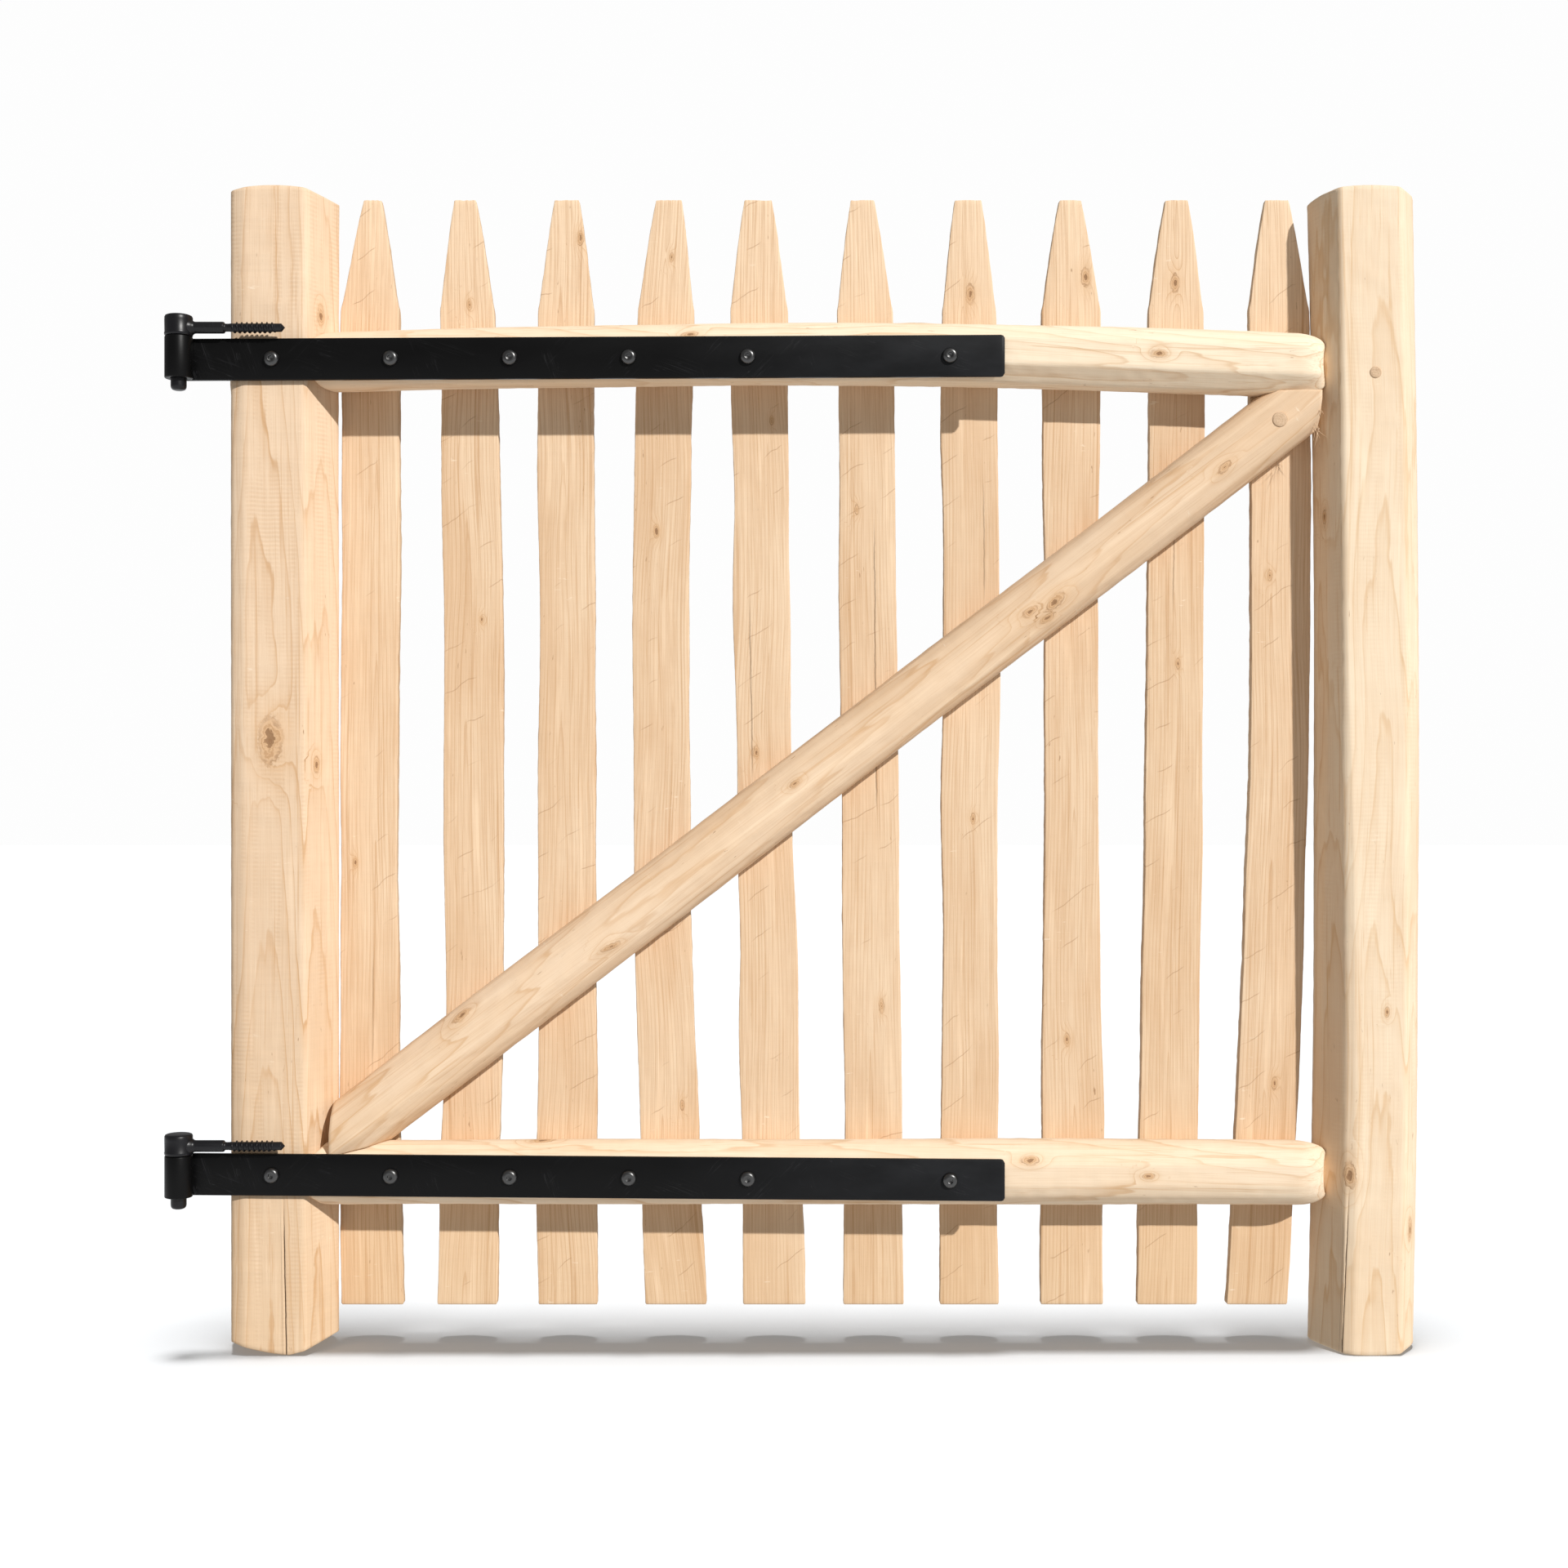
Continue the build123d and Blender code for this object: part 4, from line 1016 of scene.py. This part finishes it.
def strap(which):
    node = which + "_strap_hinge"
    eye_x, eye_y, eye_z = joints[which + "_pintle"]["pos_m"]
    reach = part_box(node)[1][0] - eye_x
    # the path of the strap's middle: from the tip straight to the eye, then round it, with the
    # direction of its outer face
    flat_places = np.concatenate((np.array([0, 1.2, 3.0]) * MM, np.linspace(8 * MM, reach, 90)))
    path = [(eye_x + reach - p, FRONT - STRAP_T / 2, 0.0, 1.0) for p in flat_places]
    for angle in np.linspace(math.radians(90), math.radians(396), 54)[1:]:
        path.append((eye_x + EYE_R * math.cos(angle), eye_y + EYE_R * math.sin(angle),
                     math.cos(angle), math.sin(angle)))
    corner = 1.0 * MM
    half_w, half_t = STRAP_W / 2, STRAP_T / 2
    section = []
    for sign_w, sign_t, first in ((1, 1, 0), (-1, 1, 90), (-1, -1, 180), (1, -1, 270)):
        for step in (8, 30, 60, 82):
            turn = math.radians(first + step)
            section.append((sign_w * (half_w - corner) + corner * math.cos(turn),
                            sign_t * (half_t - corner) + corner * math.sin(turn)))
    rings = []
    grains = []
    run = 0.0
    for index, (x, y, out_x, out_y) in enumerate(path):
        progress = (x - eye_x) / reach if index < len(flat_places) else 0.0
        if index:
            run += math.hypot(x - path[index - 1][0], y - path[index - 1][1])
        shrink = 1.0
        if x > eye_x + reach - STRAP_TIP:
            gone = 1 - (eye_x + reach - x) / STRAP_TIP
            shrink = 1 - (1 - math.sqrt(1 - gone ** 2 * 0.98)) * STRAP_TIP / half_w
        z = eye_z + STRAP_RISES[which] * max(progress, 0.0)
        rings.append([(x + out_x * d, y + out_y * d, z + w * shrink) for w, d in section])
        grains.append([(w, d, 1.0 - run) for w, d in section])
    points, faces, _ = tube(np.array(rings), cap_shrinks=(0.9,))
    grain = over_caps(np.array(grains), lambda edge, k: edge * np.array((k, k, 1)), shrinks=(0.9,))
    obj = new_mesh(node, points, facing_out(points, faces), attributes={"grain": grain})
    finish_piece(obj, "gate_leaf", [strap_paint], [node])


def strap_screws(which):
    """Round-headed black screws with a hexagon socket, seated on the strap."""
    name = which + "_strap_screws"
    eye_x, _, eye_z = joints[which + "_pintle"]["pos_m"]
    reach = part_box(which + "_strap_hinge")[1][0] - eye_x
    profile = [(40, 0.05), (35, 2.9), (34, 3.0), (0.0, 3.0), (0.0, 6.3), (-0.25, 6.55), (-0.9, 6.6)]
    profile += [(-0.9 - 3.3 * math.sin(v), 3.15 + 3.45 * math.cos(v))
                for v in np.linspace(0.18, math.pi / 2, 9)]
    profile += [(-4.18, 2.65)]
    socket = [(-4.0, 2.35), (-1.9, 2.3), (-1.6, 0.05)]
    parts = []
    for index, hole in enumerate(STRAP_HOLES):
        rise = STRAP_RISES[which] * hole * MM / reach
        place = (eye_x + hole * MM, FRONT - STRAP_T, eye_z + rise)
        turn = 0.4 + 1.3 * index
        side = (math.cos(turn), 0.0, math.sin(turn))
        parts.append(stack([ring_points(place, side, distance * MM, radius * MM, 24,
                                        hexagon=(distance, radius) in socket[:2])
                            for distance, radius in profile + socket]))
    points, faces = merge(parts)
    obj = new_mesh(name, points, faces, attributes=own_grain(points, 3.0))
    bevelled(obj, 0.18 * MM, 38)
    finish_piece(obj, "gate_leaf", [screw_black], [name])


def ring_points(place, side, distance, radius, segments, hexagon=False):
    """A ring about the Y axis; a hexagonal one has flats."""
    side = np.array(side)
    up = np.cross((0.0, 1.0, 0.0), side)
    angles = np.linspace(0, TAU, segments, endpoint=False)
    scale = np.ones(segments)
    if hexagon:
        sector = (angles % (math.pi / 3)) - math.pi / 6
        scale = math.cos(math.pi / 6) / np.cos(sector)
    circle = np.cos(angles)[:, None] * side + np.sin(angles)[:, None] * up
    return np.array(place) + np.array((0.0, distance, 0.0)) + radius * scale[:, None] * circle


for which in STRAP_RISES:
    strap(which)
    strap_screws(which)


# ---- pintles
def pintle(which):
    """Pin, forged head and smooth shank in one, then a wood-screw thread as a true helix."""
    name = which + "_pintle"
    eye_x, eye_y, eye_z = joints[name]["pos_m"]
    eye_top = eye_z + STRAP_W / 2
    # the pin and head by heights from the eye's middle, the shank by places along it, all in mm
    pin = [(-27.5, 0.1), (-27.4, 3.6), (-26.8, 5.2), (-25.7, 6.1), (-24.4, 6.45), (-23.5, 6.5),
           (19.5, 6.5)]
    head = [(17.85, 5.0), (17.85, 10.9), (18.55, 11.55), (20.45, 11.75), (20.95, 11.45),
            (30.8, 11.6), (33.7, 11.5), (34.8, 10.9), (35.3, 9.7), (35.3, 0.1)]
    boss = [(0.0, 8.2), (7.5, 8.0), (10.5, 6.9), (12.2, 5.7), (13.3, 5.0), (14.5, 4.9), (37.0, 4.9),
            (38.0, 4.7), (38.7, 3.6), (39.5, 3.3), (42.5, 3.3), (43.2, 3.5), (86.0, 3.5),
            (89.0, 0.1)]
    eye = (eye_x, eye_y, eye_z)
    parts = [lathe(profile, 48, eye, (1, 0, 0), (0, 0, 1)) for profile in (pin, head)]
    shank = (eye_x, eye_y, eye_top + 7.6 * MM)
    points, faces = lathe(boss, 48, shank, (0, 1, 0), (1, 0, 0))
    # the boss is flat where it passes over the eye
    near = points[:, 0] < eye_x + 13.4 * MM
    points[near, 2] = np.maximum(points[near, 2], eye_top + 0.9 * MM)
    parts += [(points, faces), thread(shank)]
    points, faces = merge(parts)
    obj = new_mesh(name, points, faces, attributes=own_grain(points, 5.0))
    bevelled(obj, 0.25 * MM, 40)
    finish_piece(obj, name, [pintle_paint], [name])


def thread(shank):
    """One closed helical ridge along the shank, low at both of its ends."""
    pitch, major, root = 4.2 * MM, 4.75 * MM, 3.3 * MM
    start, stop = 43.5 * MM, 85.5 * MM
    turns = (stop - start) / pitch
    count = int(turns * 30)
    rings = []
    for i in range(count + 1):
        fraction = i / count
        angle = TAU * turns * fraction
        distance = start + (stop - start) * fraction
        fade = min(1.0, fraction * 12, (1 - fraction) * 5)
        top = root + (major - root) * fade * (1.0 if fraction < 0.86 else (1 - fraction) / 0.14)
        inner = min(root, 3.5 * MM * (1.0 if distance < 84 * MM else 0.8)) * 0.9
        ring = []
        for offset, radius in ((-1.45, inner), (-0.35, top - 0.1 * MM), (-0.15, top), (0.15, top),
                               (0.35, top - 0.1 * MM), (1.45, inner)):
            along = distance + offset * MM
            ring.append((shank[0] + along, shank[1] + radius * math.cos(angle),
                         shank[2] + radius * math.sin(angle)))
        rings.append(ring)
    return stack(rings)


for which in STRAP_RISES:
    pintle(which)


# ---- pegs
def peg(name, facing, proud):
    """A dowel's end: slightly proud, eased round its edge. facing is -1 in front, 1 at the back."""
    low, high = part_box(name)
    radius = (high[0] - low[0]) / 2 / MM
    x, z = (low[0] + high[0]) / 2, (low[2] + high[2]) / 2
    face_y = (low[1] if facing < 0 else high[1]) + facing * proud
    depth = (high[1] - low[1]) / MM
    profile = [(0.0, 0.05), (0.0, radius * 0.5), (0.0, radius - 0.8), (0.25, radius - 0.2),
               (0.8, radius), (depth, radius), (depth, 0.05)]
    points, faces = lathe(profile, 32, (x, face_y, z), (1, 0, 0), (0, -facing, 0))
    centred = points - np.array((x, face_y, z))
    grain = centred[:, (0, 2, 1)] + np.array((0.002, 0.001, 4.0 + x))
    plain = np.full(grain.shape, (9.0, 9.0, 0.0))
    attributes = {"grain": grain, "knot": plain, "crack": plain}
    obj = new_mesh(name, points, facing_out(points, faces), attributes=attributes)
    finish_piece(obj, "gate_leaf", [peg_wood], [name])


peg("top_rail_peg", -1, 0.5 * MM)
peg("bottom_rail_peg", 1, 0.3 * MM)
peg("brace_peg", -1, 1.2 * MM)


# ---- nail heads at the back
NAIL_REACH = 8 * MM  # points nearer than this are on the same head


def nails(name):
    """Flat galvanised heads with a slight crown, one for each nail of the CAD group."""
    verts = np.array([tuple(v.co) for v in frame["nodes"][name].data.vertices])
    heads = verts[verts[:, 1] > verts[:, 1].max() - 0.2 * MM]
    centres = []
    for x, _, z in heads:
        if not any(abs(x - c[0]) + abs(z - c[2]) < NAIL_REACH for c in centres):
            near = heads[np.abs(heads[:, 0] - x) + np.abs(heads[:, 2] - z) < NAIL_REACH]
            centres.append((near.min(axis=0) + near.max(axis=0)) / 2)
    profile = [(0.9, 0.05), (0.88, 1.6), (0.75, 2.8), (0.5, 3.35), (0.1, 3.5), (-1.4, 3.4),
               (-1.4, 1.5), (-30, 1.5), (-34, 0.05)]
    points, faces = merge([lathe(profile, 20, centre, (1, 0, 0), (0, 1, 0)) for centre in centres])
    obj = new_mesh(name, points, faces, attributes=own_grain(points, 2.0))
    finish_piece(obj, "gate_leaf", [nail_steel], [name])


for name in ("picket_nails_top", "picket_nails_bottom", "picket_nails_brace"):
    nails(name)


# ---- floor, light and camera
FLOOR_HALF = 14.0
LENS = 46.33  # for a sensor 36 wide
CAMERA_PLACE = (0.431, FRONT - 1.700, 0.482)  # level with the gate's middle, facing it squarely


def floor():
    """A pale studio floor that keeps only the soft shadows of the sky."""
    corners = [(x * FLOOR_HALF, y * FLOOR_HALF, 0) for x, y in ((-1, -1), (1, -1), (1, 1), (-1, 1))]
    obj = new_mesh("studio_floor", corners, [(0, 1, 2, 3)])
    s = Shader("studio_floor")
    s.surface_is({"Base Color": (0.49, 0.50, 0.51, 1), "Roughness": 0.9, "Specular IOR Level": 0.1,
                  "Emission Color": (1, 1, 1, 1), "Emission Strength": 0.12})
    obj.data.materials.append(s.material)
    obj.visible_diffuse = False
    obj.visible_shadow = False
    obj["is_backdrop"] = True
    return obj


def sky():
    """Even light from all round, seen as plain white."""
    world = bpy.data.worlds.new("studio")
    bpy.context.scene.world = world
    world.use_nodes = True
    nodes = world.node_tree.nodes
    links = world.node_tree.links
    background = nodes["Background"]
    background.inputs["Color"].default_value = (1.0, 0.99, 0.98, 1)
    background.inputs["Strength"].default_value = 0.33
    white = nodes.new("ShaderNodeBackground")
    white.inputs["Color"].default_value = (0.985, 0.985, 0.985, 1)
    path = nodes.new("ShaderNodeLightPath")
    mix = nodes.new("ShaderNodeMixShader")
    links.new(path.outputs["Is Camera Ray"], mix.inputs[0])
    links.new(background.outputs[0], mix.inputs[1])
    links.new(white.outputs[0], mix.inputs[2])
    links.new(mix.outputs[0], nodes["World Output"].inputs["Surface"])


def sun(name, travel, energy, degrees, colour, receivers):
    """A distant lamp that lights only those objects."""
    lamp = bpy.data.lights.new(name, "SUN")
    lamp.energy = energy
    lamp.angle = math.radians(degrees)
    lamp.color = colour
    obj = bpy.data.objects.new(name, lamp)
    bpy.context.scene.collection.objects.link(obj)
    obj.rotation_euler = Vector(travel).to_track_quat("-Z", "Y").to_euler()
    lit = bpy.data.collections.new(name + "_receivers")
    for receiver in receivers:
        lit.objects.link(receiver)
    obj.light_linking.receiver_collection = lit


def camera():
    data = bpy.data.cameras.new("camera")
    data.lens = LENS
    data.sensor_width = 36.0
    data.clip_end = 60.0
    obj = bpy.data.objects.new("camera", data)
    bpy.context.scene.collection.objects.link(obj)
    obj.location = CAMERA_PLACE
    obj.rotation_euler = (math.radians(90), 0, 0)
    bpy.context.scene.camera = obj


ground = floor()
sky()
# a key lamp high at the front right, light thrown back up from the floor, and a broad lamp overhead
# that gives the floor its soft shadow
sun("key", (-0.76, 1.0, -0.80), 3.7, 1.3, (1.0, 0.985, 0.96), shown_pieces())
sun("bounce", (0.0, 0.22, 1.0), 0.75, 70, (1.0, 0.97, 0.93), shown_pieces())
sun("overhead", (0.0, 0.045, -1.0), 4.95, 12, (1.0, 1.0, 1.0), [ground])
camera()
bpy.context.scene.view_settings.view_transform = "Standard"
